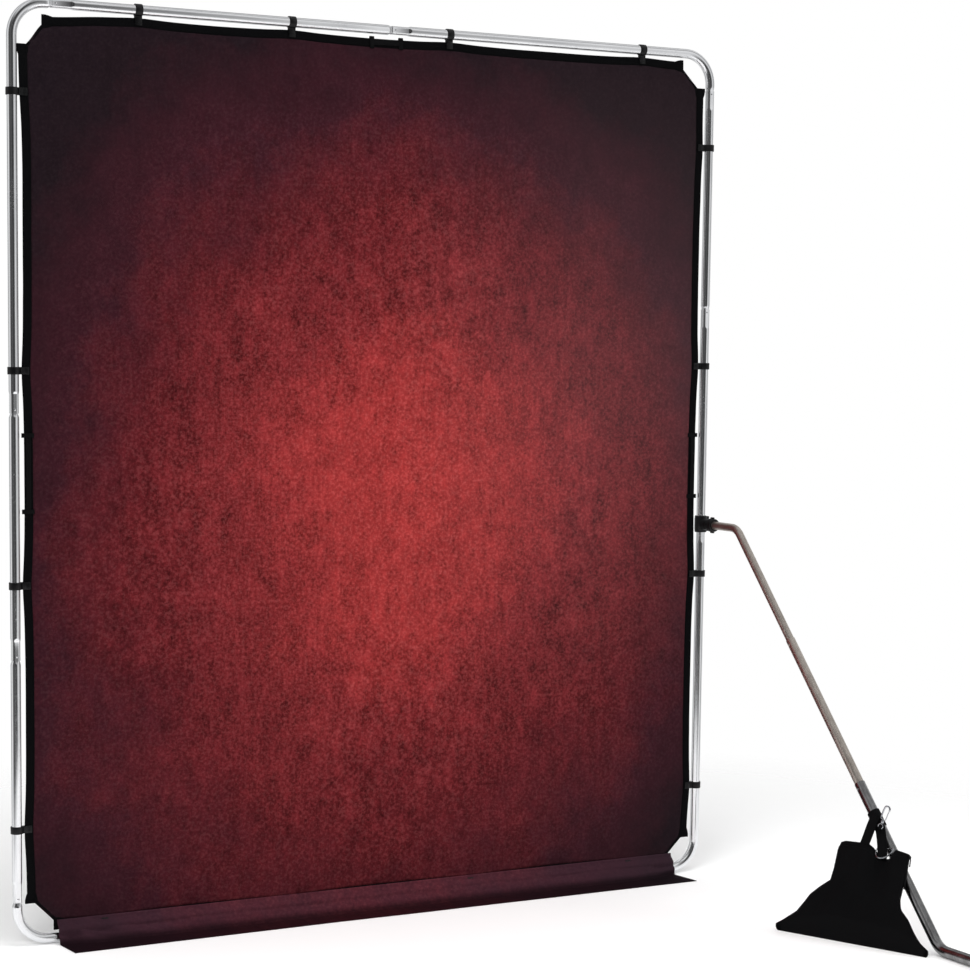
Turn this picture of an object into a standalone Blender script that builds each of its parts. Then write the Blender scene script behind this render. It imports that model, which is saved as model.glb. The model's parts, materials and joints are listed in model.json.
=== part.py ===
"""Collapsible backdrop panel: a plug-together aluminium tube frame with a clipped-on cloth,
a floor flap, and a telescoping floor leg that is weighed down by a strapped-on bag."""
import math

import bmesh
import bpy
from mathutils import Matrix, Vector

# ---- driving dimensions, metres ----
FRAME_WIDTH = 2.0
FRAME_HEIGHT = 2.3
TUBE_RADIUS = 0.0125
TUBE_WALL = 0.0012
TUBE_SIDES = 16
GAP = 0.0003

# keyed tube ends: a rounded-square mouth that takes the next tube's rounded-square spigot
MOUTH_FLAT = 0.0116
MOUTH_CORNER = 0.0128
SPIGOT_FLAT = MOUTH_FLAT - TUBE_WALL - GAP
SPIGOT_CORNER = MOUTH_CORNER - TUBE_WALL - GAP
MOUTH_LENGTH = 0.045
MOUTH_RAMP = 0.010
SPIGOT_RAMP = 0.012
SPIGOT_LENGTH = 0.046
CORNER_LONG_ARM = 0.99
CORNER_SHORT_ARM = 0.11
CORNER_BEND = 0.08

# cloth clips
CLIP_WIDTH = 0.018
CLIP_INNER = TUBE_RADIUS + GAP
CLIP_OUTER = CLIP_INNER + 0.0022
JAW_THICK = 0.0022
JAW_REACH = 0.034
TOP_CLIPS = (-0.672, -0.267, 0.177, 0.765)
LEFT_CLIPS = (2.078, 1.415, 0.894, 0.293)
RIGHT_CLIPS = (2.037, 1.435, 0.853, 0.249)
BOTTOM_CLIPS = (-0.765, -0.267, 0.267, 0.765)

# the frame stands on the clips round its bottom tube
LEFT = -FRAME_WIDTH / 2 + TUBE_RADIUS
RIGHT = -LEFT
BASE = CLIP_OUTER
TOP = BASE + FRAME_HEIGHT - 2 * TUBE_RADIUS

# cloth
CLOTH_THICK = 0.0012
SLEEVE_WIDTH = 0.022
SLEEVE_THICK = 0.004
EDGE_TO_TUBE = 0.008
CORNER_CUT = 0.047
EDGE_INSET = TUBE_RADIUS + EDGE_TO_TUBE
PULL_STRAP_WIDTH = 0.012
PULL_STRAP_THICK = 0.0016
FLAP_LEFT = -0.888
FLAP_RIGHT = 0.908
FLAP_SEAM = 0.060
FLAP_REACH = 0.118
FLAP_THICK = 0.002

# floor leg: a horizontal stub, a slope and a foot, all in one upright plane
LEG_AZIMUTH = math.radians(2.7)
CLAMP_HEIGHT = 0.993
STUB_START = 0.028
KNEE = Vector((0.169, 0.0, CLAMP_HEIGHT))
LEG_UPPER_R = 0.011
LEG_MIDDLE_R = 0.0125
LEG_LOWER_R = 0.014
HEEL = Vector((1.042, 0.0, LEG_LOWER_R))
FOOT_END = 1.195
KNEE_BEND = 0.05
HEEL_BEND = 0.06
FIRST_SEAM = 0.374
SECOND_SEAM = 0.826
LEG_OVERLAP = 0.06

# clamp
CLAMP_HALF_HEIGHT = 0.023
CLAMP_RADIUS = 0.0174
CLAMP_BORE = 0.0132
SOCKET_RADIUS = 0.0155
SOCKET_END = 0.052
LUG_OUT = 0.0262
LUG_HALF_HEIGHT = 0.021
LUG_THICK = 0.005
SCREW_OFFSET = 0.0214
SCREW_SPACING = 0.024
SCREW_HOLE = 0.0022
SCREW_RADIUS = 0.0019
SCREW_HEAD = 0.0034
SCREW_HEAD_THICK = 0.003
COLLAR_BORE = SOCKET_RADIUS + GAP
COLLAR_RADIUS = 0.0182
COLLAR_START = 0.044
COLLAR_END = 0.066
WING_TIP = 0.0225
WING_HALF_THICK = 0.0032

# weight bag, in its own frame: x along its foot, y away from its front, z up
BAG_FOOT = (0.905, -0.855)
BAG_YAW = math.radians(-65.0)
# height, left, right, front, middle depth, edge depth
BAG_LEVELS = (
    (0.000, -0.210, 0.207, -0.014, 0.086, 0.014),
    (0.015, -0.217, 0.213, -0.020, 0.096, 0.022),
    (0.055, -0.162, 0.166, -0.004, 0.090, 0.026),
    (0.100, -0.130, 0.122, 0.018, 0.072, 0.026),
    (0.143, -0.086, 0.113, 0.036, 0.054, 0.024),
    (0.200, -0.081, 0.116, 0.053, 0.034, 0.018),
    (0.232, -0.076, 0.115, 0.064, 0.024, 0.014),
    (0.241, -0.066, 0.106, 0.069, 0.014, 0.008),
)
BAG_SECTION_POINTS = 8
SEAM_SET_BACK = 0.3
FRONT_CROWN = 0.9
VALLEY_LEFT = 0.010
VALLEY_RIGHT = 0.072
VALLEY_FLOOR = 0.212
WEBBING = 0.025
WEBBING_THICK = 0.0022
WRAP_LENGTH = 0.046
WRAP_PLACE = 0.936
STRAP_LEFT_FOOT = Vector((-0.008, 0.076, 0.2445))
STRAP_LEFT_TOP = Vector((-0.0020, 0.1140, 0.3080))
STRAP_RIGHT_FOOT = Vector((0.046, 0.068, 0.2190))
STRAP_RIGHT_TOP = Vector((0.0130, 0.1120, 0.2840))
RING_CENTRE_X = 0.044
RING_HALF_WIDTH = 0.021
RING_BACK = Vector((RING_CENTRE_X, 0.0880, 0.2360))
RING_FRONT = Vector((RING_CENTRE_X, 0.0560, 0.2165))
RING_WIRE = 0.0018
HOOK_FOOT = Vector((0.0206, 0.0960, 0.2820))
HOOK_TOP = Vector((0.0420, 0.0990, 0.3405))
HOOK_WIRE = 0.0022
HOOK_RADIUS = 0.0075
EYE_RADIUS = 0.0065
BARREL_RADIUS = 0.0042
ZIP_TOP = Vector((0.1163, 0.0731, 0.2320))
ZIP_LEAN = math.radians(14.2)
ZIP_LENGTH = 0.087
ZIP_HALF_WIDTH = 0.005
ZIP_TAPE_THICK = 0.0012
SLIDER_HALF_WIDTH = 0.0035
SLIDER_LENGTH = 0.010
SLIDER_THICK = 0.0035
PULL_HALF_WIDTH = 0.0028
PULL_LENGTH = 0.026
PULL_THICK = 0.0015

materials = {}


def clear_scene():
    for old in list(bpy.data.objects):
        bpy.data.objects.remove(old)


def make_collection(name):
    made = bpy.data.collections.new(name)
    bpy.context.scene.collection.children.link(made)
    return made


def finish(name, colour, roughness, metallic=0.0):
    """A material made once and shared by every piece of that finish."""
    if name not in materials:
        made = bpy.data.materials.new(name)
        made.use_nodes = True
        shader = made.node_tree.nodes["Principled BSDF"]
        shader.inputs["Base Color"].default_value = (*colour, 1.0)
        shader.inputs["Roughness"].default_value = roughness
        shader.inputs["Metallic"].default_value = metallic
        materials[name] = made
    return materials[name]


def bright_aluminium():
    return finish("bright_aluminium", (0.80, 0.81, 0.82), 0.22, 1.0)


def leg_metal():
    return finish("leg_metal", (0.46, 0.42, 0.39), 0.34, 1.0)


def black_plastic():
    return finish("black_plastic", (0.018, 0.018, 0.019), 0.45)


def chrome_steel():
    return finish("chrome_steel", (0.82, 0.83, 0.85), 0.12, 1.0)


def printed_cloth():
    return finish("printed_cloth", (0.22, 0.035, 0.035), 0.85)


def black_cloth():
    return finish("black_cloth", (0.015, 0.014, 0.016), 0.85)


def red_plastic():
    return finish("red_plastic", (0.45, 0.03, 0.05), 0.45)


def empty(name, location, rotation=(0, 0, 0), parent=None):
    made = bpy.data.objects.new(name, None)
    made.location = location
    made.rotation_euler = rotation
    made.parent = parent
    parts.objects.link(made)
    return made


def place(name, data, material, parent, location=(0, 0, 0), rotation=(0, 0, 0)):
    """Put a mesh or a curve in the model as one named piece."""
    made = bpy.data.objects.new(name, data)
    if not data.materials:
        data.materials.append(material)
    made.location = location
    made.rotation_euler = rotation
    made.parent = parent
    parts.objects.link(made)
    return made


def to_mesh(name, bm, smooth=True):
    bmesh.ops.recalc_face_normals(bm, faces=bm.faces)
    made = bpy.data.meshes.new(name)
    bm.to_mesh(made)
    bm.free()
    if smooth:
        made.shade_smooth()
        made.set_sharp_from_angle(angle=math.radians(35))
    return made


def section(flat, corner):
    """Points round a tube: a circle where flat equals corner, else a rounded square."""
    points = []
    for step in range(TUBE_SIDES):
        angle = 2 * math.pi * step / TUBE_SIDES
        c, s = math.cos(angle), math.sin(angle)
        reach = min(corner, flat / max(abs(c), abs(s)))
        points.append((reach * c, reach * s))
    return points


def skin(bm, first, second):
    count = len(first)
    for k in range(count):
        after = (k + 1) % count
        bm.faces.new((first[k], first[after], second[after], second[k]))


def tube_mesh(name, stations, side=Vector((0, 1, 0))):
    """A hollow tube through stations of (centre, direction, flat, corner)."""
    bm = bmesh.new()
    outer, inner = [], []
    for centre, direction, flat, corner in stations:
        up = side.cross(direction).normalized()
        for rings, wall in ((outer, 0.0), (inner, TUBE_WALL)):
            ring = section(flat - wall, corner - wall)
            rings.append([bm.verts.new(centre + side * a + up * b) for a, b in ring])
    for rings in (outer, inner):
        for k in range(len(rings) - 1):
            skin(bm, rings[k], rings[k + 1])
    skin(bm, outer[0], inner[0])
    skin(bm, outer[-1], inner[-1])
    return to_mesh(name, bm)


def bent_path(points, radius, steps=8):
    """Points and directions along straight runs joined by round bends."""
    first = (points[1] - points[0]).normalized()
    path = [(points[0], first)]
    for before, here, after in zip(points, points[1:], points[2:]):
        a = (here - before).normalized()
        b = (after - here).normalized()
        angle = a.angle(b)
        inward = (b - a * a.dot(b)).normalized()
        start = here - a * radius * math.tan(angle / 2)
        centre = start + inward * radius
        for k in range(steps + 1):
            turn = angle * k / steps
            spot = centre - inward * radius * math.cos(turn) + a * radius * math.sin(turn)
            path.append((spot, a * math.cos(turn) + inward * math.sin(turn)))
    path.append((points[-1], (points[-1] - points[-2]).normalized()))
    return path


def round_stations(path, radius):
    return [(spot, direction, radius, radius) for spot, direction in path]


def mouth_stations(start, direction):
    """The rounded-square mouth, and the ramp from it to the round tube."""
    return [
        (start, direction, MOUTH_FLAT, MOUTH_CORNER),
        (start + direction * MOUTH_LENGTH, direction, MOUTH_FLAT, MOUTH_CORNER),
        (start + direction * (MOUTH_LENGTH + MOUTH_RAMP), direction, TUBE_RADIUS, TUBE_RADIUS),
    ]


def spigot_stations(end, direction):
    """The ramp down from the round tube, and the spigot that goes into the next mouth."""
    return [
        (end - direction * SPIGOT_RAMP, direction, TUBE_RADIUS, TUBE_RADIUS),
        (end - direction * GAP, direction, SPIGOT_FLAT, SPIGOT_CORNER),
        (end + direction * SPIGOT_LENGTH, direction, SPIGOT_FLAT, SPIGOT_CORNER),
    ]


def straight_tube_mesh(name, length):
    along = Vector((1, 0, 0))
    stations = mouth_stations(Vector((0, 0, 0)), along)
    stations += spigot_stations(along * length, along)
    return tube_mesh(name, stations)


def corner_tube_mesh(name):
    """An elbow with its long arm down from the corner and its short arm to +X."""
    foot = Vector((0, 0, TUBE_RADIUS - CORNER_LONG_ARM))
    tip = Vector((CORNER_SHORT_ARM - TUBE_RADIUS, 0, 0))
    bend = bent_path([foot, Vector((0, 0, 0)), tip], CORNER_BEND)[1:-1]
    stations = mouth_stations(foot, Vector((0, 0, 1)))
    stations += round_stations(bend, TUBE_RADIUS)
    stations += spigot_stations(tip, Vector((1, 0, 0)))
    return tube_mesh(name, stations)


def quarter_turns(count):
    """Rotation about Y that carries a piece round the frame, clockwise from the front."""
    return (0, count * math.pi / 2, 0)


def build_frame(origin):
    corner = corner_tube_mesh("corner_tube")
    places = (
        ("corner_tube_top_left", LEFT, TOP, 0),
        ("corner_tube_top_right", RIGHT, TOP, 1),
        ("corner_tube_bottom_right", RIGHT, BASE, 2),
        ("corner_tube_bottom_left", LEFT, BASE, 3),
    )
    for name, x, z, turns in places:
        place(name, corner, bright_aluminium(), origin, (x, 0, z), quarter_turns(turns))

    across = FRAME_WIDTH - CORNER_LONG_ARM - CORNER_SHORT_ARM
    upright = (FRAME_HEIGHT - CORNER_LONG_ARM - CORNER_SHORT_ARM) / 2
    inset = CORNER_SHORT_ARM - TUBE_RADIUS
    long_tube = straight_tube_mesh("cross_tube", across)
    short_tube = straight_tube_mesh("upright_tube", upright)
    places = (
        ("cross_tube_top", long_tube, LEFT + inset, TOP, 0),
        ("upright_tube_right_upper", short_tube, RIGHT, TOP - inset, 1),
        ("upright_tube_right_lower", short_tube, RIGHT, TOP - inset - upright, 1),
        ("cross_tube_bottom", long_tube, RIGHT - inset, BASE, 2),
        ("upright_tube_left_lower", short_tube, LEFT, BASE + inset, 3),
        ("upright_tube_left_upper", short_tube, LEFT, BASE + inset + upright, 3),
    )
    for name, data, x, z, turns in places:
        place(name, data, bright_aluminium(), origin, (x, 0, z), quarter_turns(turns))


def flat_outline(name, loops, thickness):
    """A flat outline, with holes where there is more than one loop, given a thickness."""
    curve = bpy.data.curves.new(name, "CURVE")
    curve.dimensions = "2D"
    curve.fill_mode = "BOTH"
    curve.extrude = thickness / 2
    for points in loops:
        spline = curve.splines.new("POLY")
        spline.points.add(len(points) - 1)
        for target, (x, y) in zip(spline.points, points):
            target.co = (x, y, 0, 1)
        spline.use_cyclic_u = True
    return curve


def arc(radius, start, end, steps):
    """Points on an arc about the origin, both ends included."""
    turns = [start + (end - start) * k / steps for k in range(steps + 1)]
    return [(radius * math.cos(t), radius * math.sin(t)) for t in turns]


def clip_outline():
    """A C round the tube with two jaws that hold the cloth's edge, which lies to +X."""
    slot = SLEEVE_THICK / 2 + GAP
    outside = slot + JAW_THICK
    outer_start = math.asin(outside / CLIP_OUTER)
    inner_start = math.asin(slot / CLIP_INNER)
    points = [(JAW_REACH, outside)]
    points += arc(CLIP_OUTER, outer_start, 2 * math.pi - outer_start, 16)
    points += [(JAW_REACH, -outside), (JAW_REACH, -slot)]
    points += arc(CLIP_INNER, 2 * math.pi - inner_start, inner_start, 16)
    points += [(JAW_REACH, slot)]
    return points


def build_clips(origin):
    clip = flat_outline("clip", [clip_outline()], CLIP_WIDTH)
    rows = (
        ("left", [(LEFT, z) for z in LEFT_CLIPS], 0),
        ("top", [(x, TOP) for x in TOP_CLIPS], 1),
        ("right", [(RIGHT, z) for z in RIGHT_CLIPS], 2),
        ("bottom", [(x, BASE) for x in BOTTOM_CLIPS], 3),
    )
    for side, spots, turns in rows:
        for number, (x, z) in enumerate(spots, 1):
            name = f"clip_{side}_{number}"
            place(name, clip, black_plastic(), origin, (x, 0, z), quarter_turns(turns))


def box(name, low, high, material, parent, location=(0, 0, 0), rotation=(0, 0, 0)):
    low, high = Vector(low), Vector(high)
    bm = bmesh.new()
    bmesh.ops.create_cube(bm, size=1.0)
    bmesh.ops.scale(bm, vec=high - low, verts=bm.verts)
    bmesh.ops.translate(bm, vec=(low + high) / 2, verts=bm.verts)
    return place(name, to_mesh(name, bm, False), material, parent, location, rotation)


def build_cloth(origin):
    out_x = RIGHT - EDGE_INSET
    in_x = out_x - SLEEVE_WIDTH
    low_out = BASE + EDGE_INSET
    low_in = low_out + SLEEVE_WIDTH
    high_out = TOP - EDGE_INSET
    high_in = high_out - SLEEVE_WIDTH
    half = SLEEVE_THICK / 2

    x, low, high, cut = in_x - GAP, low_in + GAP, high_in - GAP, CORNER_CUT
    outline = [
        (-x, low + cut), (-x + cut, low), (x - cut, low), (x, low + cut),
        (x, high - cut), (x - cut, high), (-x + cut, high), (-x, high - cut),
    ]
    panel = flat_outline("cloth_panel", [outline], CLOTH_THICK)
    place("cloth_panel", panel, printed_cloth(), origin, rotation=(math.pi / 2, 0, 0))

    black = black_cloth()
    for side, sign in (("left", -1), ("right", 1)):
        xs = sorted((sign * in_x, sign * out_x))
        box(f"sleeve_{side}", (xs[0], -half, low_in + cut), (xs[1], half, high_in - cut),
            black, origin)
    for side, z0, z1 in (("top", high_in, high_out), ("bottom", low_out, low_in)):
        box(f"sleeve_{side}", (cut - in_x, -half, z0), (in_x - cut, half, z1), black, origin)

    front = -half - GAP
    back = front - PULL_STRAP_THICK
    wide = PULL_STRAP_WIDTH
    box("pull_strap_left", (-in_x - 0.002 - wide, back, 1.074),
        (-in_x - 0.002, front, 1.259), black, origin)
    box("pull_strap_right", (in_x + 0.002, back, 1.072),
        (in_x + 0.002 + wide, front, 1.243), black, origin)
    box("pull_strap_top", (-0.045, back, high_in + 0.002),
        (0.037, front, high_in + 0.002 + wide), black, origin)

    top = front - GAP
    slope = [
        (top, FLAP_SEAM + FLAP_THICK), (-FLAP_REACH, FLAP_THICK), (-FLAP_REACH, 0.0),
        (-FLAP_REACH + 2 * FLAP_THICK, 0.0), (top, FLAP_SEAM),
    ]
    flap = flat_outline("floor_flap", [slope], FLAP_RIGHT - FLAP_LEFT)
    place("floor_flap", flap, printed_cloth(), origin,
          ((FLAP_LEFT + FLAP_RIGHT) / 2, 0, 0), (math.pi / 2, 0, math.pi / 2))


def slope_point(distance):
    """A point on the leg's sloping centre line, this far below the knee."""
    return KNEE + (HEEL - KNEE).normalized() * distance


def turned(name, profile, material, parent, location=(0, 0, 0), rotation=(0, 0, 0), steps=20):
    """A shape turned about its local Z: a profile of (radius, height), down its outer side.

    A profile that starts and ends on the axis is left open there; any other is a loop."""
    bm = bmesh.new()
    verts = [bm.verts.new((radius, 0, height)) for radius, height in profile]
    on_axis = profile[0][0] == 0 and profile[-1][0] == 0
    pairs = list(zip(verts, verts[1:]))
    if not on_axis:
        pairs.append((verts[-1], verts[0]))
    for pair in pairs:
        bm.edges.new(pair)
    data = bpy.data.meshes.new(name)
    bm.to_mesh(data)
    bm.free()
    made = place(name, data, material, parent, location, rotation)
    screw = made.modifiers.new("turn", "SCREW")
    screw.axis = "Z"
    screw.steps = steps
    screw.render_steps = steps
    screw.use_merge_vertices = True
    screw.merge_threshold = 0.00001
    screw.use_smooth_shade = True
    return made


def cutter_of(made):
    """Move a piece to the cutters, so that it only shapes other pieces."""
    parts.objects.unlink(made)
    cutters.objects.link(made)
    made.hide_render = True
    made.display_type = "WIRE"
    return made


def combine(piece, other, operation):
    step = piece.modifiers.new(other.name, "BOOLEAN")
    step.operation = operation
    step.object = other


def rod(name, radius, start, end, material, parent, sides=24):
    """A solid cylinder between two points."""
    start, end = Vector(start), Vector(end)
    bm = bmesh.new()
    bmesh.ops.create_cone(bm, cap_ends=True, segments=sides, radius1=radius, radius2=radius,
                          depth=(end - start).length)
    made = place(name, to_mesh(name, bm), material, parent, (start + end) / 2)
    made.rotation_euler = (end - start).to_track_quat("Z", "Y").to_euler()
    return made


def build_clamp(leg):
    """Two half-round jaws, screwed together beside the upright, with a socket for the leg."""
    z = CLAMP_HEIGHT
    plastic = black_plastic()
    low, high = (0, 0, z - CLAMP_HALF_HEIGHT), (0, 0, z + CLAMP_HALF_HEIGHT)
    far = 2 * CLAMP_HALF_HEIGHT
    bore = cutter_of(rod("upright_bore", CLAMP_BORE, (0, 0, z - far), (0, 0, z + far),
                         plastic, leg))
    socket = cutter_of(rod("socket", SOCKET_RADIUS, (CLAMP_BORE, 0, z), (SOCKET_END, 0, z),
                           plastic, leg))
    stub_bore = cutter_of(rod("stub_bore", LEG_UPPER_R + GAP, (STUB_START - 0.001, 0, z),
                              (SOCKET_END + far, 0, z), plastic, leg))
    screws = []
    for name, side in (("upper", 1), ("lower", -1)):
        spot = (0, SCREW_OFFSET, z + side * SCREW_SPACING / 2)
        screws.append((name, spot))
        hole = rod(f"screw_hole_{name}", SCREW_HOLE, (-far, *spot[1:]), (far, *spot[1:]),
                   plastic, leg, 12)
        cutter_of(hole)

    for name, sign in (("clamp_front_jaw", 1), ("clamp_rear_jaw", -1)):
        jaw = rod(name, CLAMP_RADIUS, low, high, plastic, leg, 32)
        lug_ends = sorted((sign * GAP, sign * LUG_THICK))
        lug = box(f"{name}_lug", (lug_ends[0], 0.014, z - LUG_HALF_HEIGHT),
                  (lug_ends[1], LUG_OUT, z + LUG_HALF_HEIGHT), plastic, leg)
        half_ends = sorted((sign * GAP, -sign * far))
        other_half = box(f"{name}_other_half", (half_ends[0], -far, z - far),
                         (half_ends[1], far, z + far), plastic, leg)
        combine(jaw, cutter_of(lug), "UNION")
        if sign > 0:
            combine(jaw, socket, "UNION")
        combine(jaw, cutter_of(other_half), "DIFFERENCE")
        combine(jaw, bore, "DIFFERENCE")
        if sign > 0:
            combine(jaw, stub_bore, "DIFFERENCE")
        for screw, _ in screws:
            combine(jaw, bpy.data.objects[f"screw_hole_{screw}"], "DIFFERENCE")

    head = LUG_THICK + GAP
    tip = head + SCREW_HEAD_THICK
    for name, spot in screws:
        turned(f"clamp_screw_{name}",
               [(0, tip), (SCREW_HEAD, tip), (SCREW_HEAD, head), (SCREW_RADIUS, head),
                (SCREW_RADIUS, -tip), (0, -tip)],
               chrome_steel(), leg, spot, (0, math.pi / 2, 0), 12)

    collar = turned("leg_lock_collar",
                    [(LEG_UPPER_R + GAP, COLLAR_END), (COLLAR_RADIUS - 0.002, COLLAR_END),
                     (COLLAR_RADIUS, COLLAR_END - 0.002), (COLLAR_RADIUS, COLLAR_START),
                     (COLLAR_BORE, COLLAR_START), (COLLAR_BORE, SOCKET_END + GAP),
                     (LEG_UPPER_R + GAP, SOCKET_END + GAP)],
                    plastic, leg, (0, 0, z), (0, math.pi / 2, 0))
    for side, sign in (("upper", 1), ("lower", -1)):
        ends = sorted((sign * 0.0172, sign * WING_TIP))
        wing = box(f"wing_{side}", (COLLAR_START + 0.004, -WING_HALF_THICK, z + ends[0]),
                   (COLLAR_END - 0.003, WING_HALF_THICK, z + ends[1]), plastic, leg)
        combine(collar, cutter_of(wing), "UNION")


def build_leg(leg):
    metal = leg_metal()
    stub = Vector((STUB_START, 0, CLAMP_HEIGHT))
    upper = bent_path([stub, KNEE, slope_point(FIRST_SEAM + LEG_OVERLAP)], KNEE_BEND)
    place("leg_tube_upper", tube_mesh("leg_tube_upper", round_stations(upper, LEG_UPPER_R)),
          metal, leg)
    middle = bent_path([slope_point(FIRST_SEAM), slope_point(SECOND_SEAM + LEG_OVERLAP)], 0)
    place("leg_tube_middle", tube_mesh("leg_tube_middle", round_stations(middle, LEG_MIDDLE_R)),
          metal, leg)
    toe = Vector((FOOT_END, 0, LEG_LOWER_R))
    lower = bent_path([slope_point(SECOND_SEAM), HEEL, toe], HEEL_BEND)
    place("leg_tube_lower", tube_mesh("leg_tube_lower", round_stations(lower, LEG_LOWER_R)),
          metal, leg)
    inside = LEG_LOWER_R - TUBE_WALL - GAP
    turned("foot_plug",
           [(0, 0.004), (LEG_LOWER_R - 0.002, 0.004), (LEG_LOWER_R, 0.002), (LEG_LOWER_R, GAP),
            (inside, GAP), (inside, -0.018), (0, -0.018)],
           red_plastic(), leg, toe, (0, math.pi / 2, 0), 16)


def bag_section(left, right, front, depth, edge):
    """A nearly flat front and a bulging back between two thin side seams."""
    ring = []
    half = (right - left) / 2
    middle = (left + right) / 2
    last = BAG_SECTION_POINTS - 1
    steps = [-math.cos(math.pi * k / last) for k in range(BAG_SECTION_POINTS)]
    set_back = SEAM_SET_BACK * edge
    for t in steps:
        ring.append((middle + half * t, front + set_back * (1 - FRONT_CROWN * (1 - t * t))))
    for t in reversed(steps):
        ring.append((middle + half * t, front + edge + (depth - edge) * (1 - t * t)))
    return ring


def build_bag(bag, leg):
    black = black_cloth()
    bm = bmesh.new()
    rings = []
    for height, *shape in BAG_LEVELS:
        ring = bag_section(*shape)
        rings.append([bm.verts.new((x, y, height)) for x, y in ring])
    for lower, upper in zip(rings, rings[1:]):
        skin(bm, lower, upper)
    bm.faces.new(rings[0])
    bm.faces.new(rings[-1])
    body = place("weight_bag", to_mesh("weight_bag", bm), black, bag)
    valley = box("bag_valley", (VALLEY_LEFT, 0.0, VALLEY_FLOOR), (VALLEY_RIGHT, 0.15, 0.3),
                 black, bag)
    combine(body, cutter_of(valley), "DIFFERENCE")

    build_straps(bag, leg)
    build_ring_and_hook(bag)
    build_zip(bag)


def webbing_run(name, foot, top, bag):
    """A flat length of webbing between two points, its width across the bag."""
    along = (top - foot).normalized()
    across = (Vector((1, 0, 0)) - along * along.x).normalized()
    face = along.cross(across)
    turn = Matrix((across, face, along)).transposed().to_euler()
    half_wide, half_thick = WEBBING / 2, WEBBING_THICK / 2
    box(name, (-half_wide, -half_thick, 0), (half_wide, half_thick, (top - foot).length),
        black_cloth(), bag, foot, turn)


def build_straps(bag, leg):
    webbing_run("bag_strap_left", STRAP_LEFT_FOOT, STRAP_LEFT_TOP, bag)
    webbing_run("bag_strap_right", STRAP_RIGHT_FOOT, STRAP_RIGHT_TOP, bag)
    inside = LEG_LOWER_R + GAP
    outside = inside + WEBBING_THICK
    half = WRAP_LENGTH / 2
    along = (HEEL - KNEE).normalized()
    turn = math.atan2(along.x, along.z)
    turned("bag_strap_wrap",
           [(inside, half), (outside, half), (outside, -half), (inside, -half)],
           black_cloth(), leg, slope_point(WRAP_PLACE), (0, turn, 0))


def wire(name, points, radius, closed, material, parent):
    curve = bpy.data.curves.new(name, "CURVE")
    curve.dimensions = "3D"
    curve.bevel_depth = radius
    curve.bevel_resolution = 2
    curve.use_fill_caps = True
    spline = curve.splines.new("POLY")
    spline.points.add(len(points) - 1)
    for target, spot in zip(spline.points, points):
        target.co = (*spot, 1)
    spline.use_cyclic_u = closed
    return place(name, curve, material, parent)


def build_ring_and_hook(bag):
    chrome = chrome_steel()
    reach = RING_FRONT - RING_BACK
    side = Vector((1, 0, 0))
    steps = 10
    ring = []
    for k in range(steps + 1):
        turn = math.pi * k / steps
        ring.append(RING_BACK + side * RING_HALF_WIDTH * math.cos(turn)
                    + reach * (0.25 + 0.75 * math.sin(turn)))
    ring.append(RING_BACK - side * RING_HALF_WIDTH)
    ring.append(RING_BACK + side * RING_HALF_WIDTH)
    wire("d_ring", ring, RING_WIRE, True, chrome, bag)

    up = (HOOK_TOP - HOOK_FOOT).normalized()
    out = (side - up * up.x).normalized()
    length = (HOOK_TOP - HOOK_FOOT).length
    barrel_low = HOOK_FOOT + up * (2 * EYE_RADIUS + HOOK_WIRE)
    barrel_high = barrel_low + up * 0.009
    eye_centre = HOOK_FOOT + up * EYE_RADIUS
    eye = []
    for k in range(12):
        turn = 2 * math.pi * k / 12
        eye.append(eye_centre + out * EYE_RADIUS * math.cos(turn)
                   + up * EYE_RADIUS * math.sin(turn))
    wire("snap_hook_eye", eye, 0.0014, True, chrome, bag)
    rod("snap_hook_barrel", BARREL_RADIUS, barrel_low, barrel_high, chrome, bag, 14)

    bow = HOOK_FOOT + up * (length - HOOK_RADIUS)
    shank = barrel_high + up * (HOOK_WIRE + GAP)
    hook = [shank - out * 0.001]
    hook.append(shank - out * HOOK_RADIUS + up * 0.004)
    for k in range(9):
        turn = math.pi - math.pi * 1.12 * k / 8
        hook.append(bow + out * HOOK_RADIUS * math.cos(turn) + up * HOOK_RADIUS * math.sin(turn))
    wire("snap_hook_body", hook, HOOK_WIRE, False, chrome, bag)
    tip = hook[-1]
    gate_foot = shank + out * (HOOK_RADIUS - 0.001)
    gate_top = tip + (gate_foot - tip).normalized() * (HOOK_WIRE + GAP)
    rod("snap_hook_gate", 0.0013, gate_foot, gate_top, chrome, bag, 10)


def build_zip(bag):
    """A zip down the bag's right side seam, drawn in a frame whose Z runs up the seam."""
    zip_frame = empty("zip_frame", ZIP_TOP, (-ZIP_LEAN, 0, 0), bag)
    stop = -0.002
    x = 0
    sizes = (
        ("zip_tape", ZIP_HALF_WIDTH, 0, ZIP_LENGTH, ZIP_TAPE_THICK, black_cloth()),
        ("zip_slider", SLIDER_HALF_WIDTH, stop, SLIDER_LENGTH, SLIDER_THICK, black_plastic()),
        ("zip_pull", PULL_HALF_WIDTH, 2 * stop, PULL_LENGTH, PULL_THICK, black_plastic()),
    )
    for name, half, top, length, thick, material in sizes:
        box(name, (x, -half, top - length), (x + thick, half, top), material, zip_frame)
        x += thick + GAP


def centre_footprint(origin):
    """Move the model so that its box stands centred on the world's origin."""
    bpy.context.view_layer.update()
    graph = bpy.context.evaluated_depsgraph_get()
    corners = []
    for piece in parts.objects:
        if piece.type != "EMPTY":
            shaped = piece.evaluated_get(graph)
            mesh = shaped.to_mesh()
            corners += [shaped.matrix_world @ v.co for v in mesh.vertices]
            shaped.to_mesh_clear()
    xs = [c.x for c in corners]
    ys = [c.y for c in corners]
    origin.location = (-(min(xs) + max(xs)) / 2, -(min(ys) + max(ys)) / 2, 0)
    bpy.context.view_layer.update()


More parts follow.
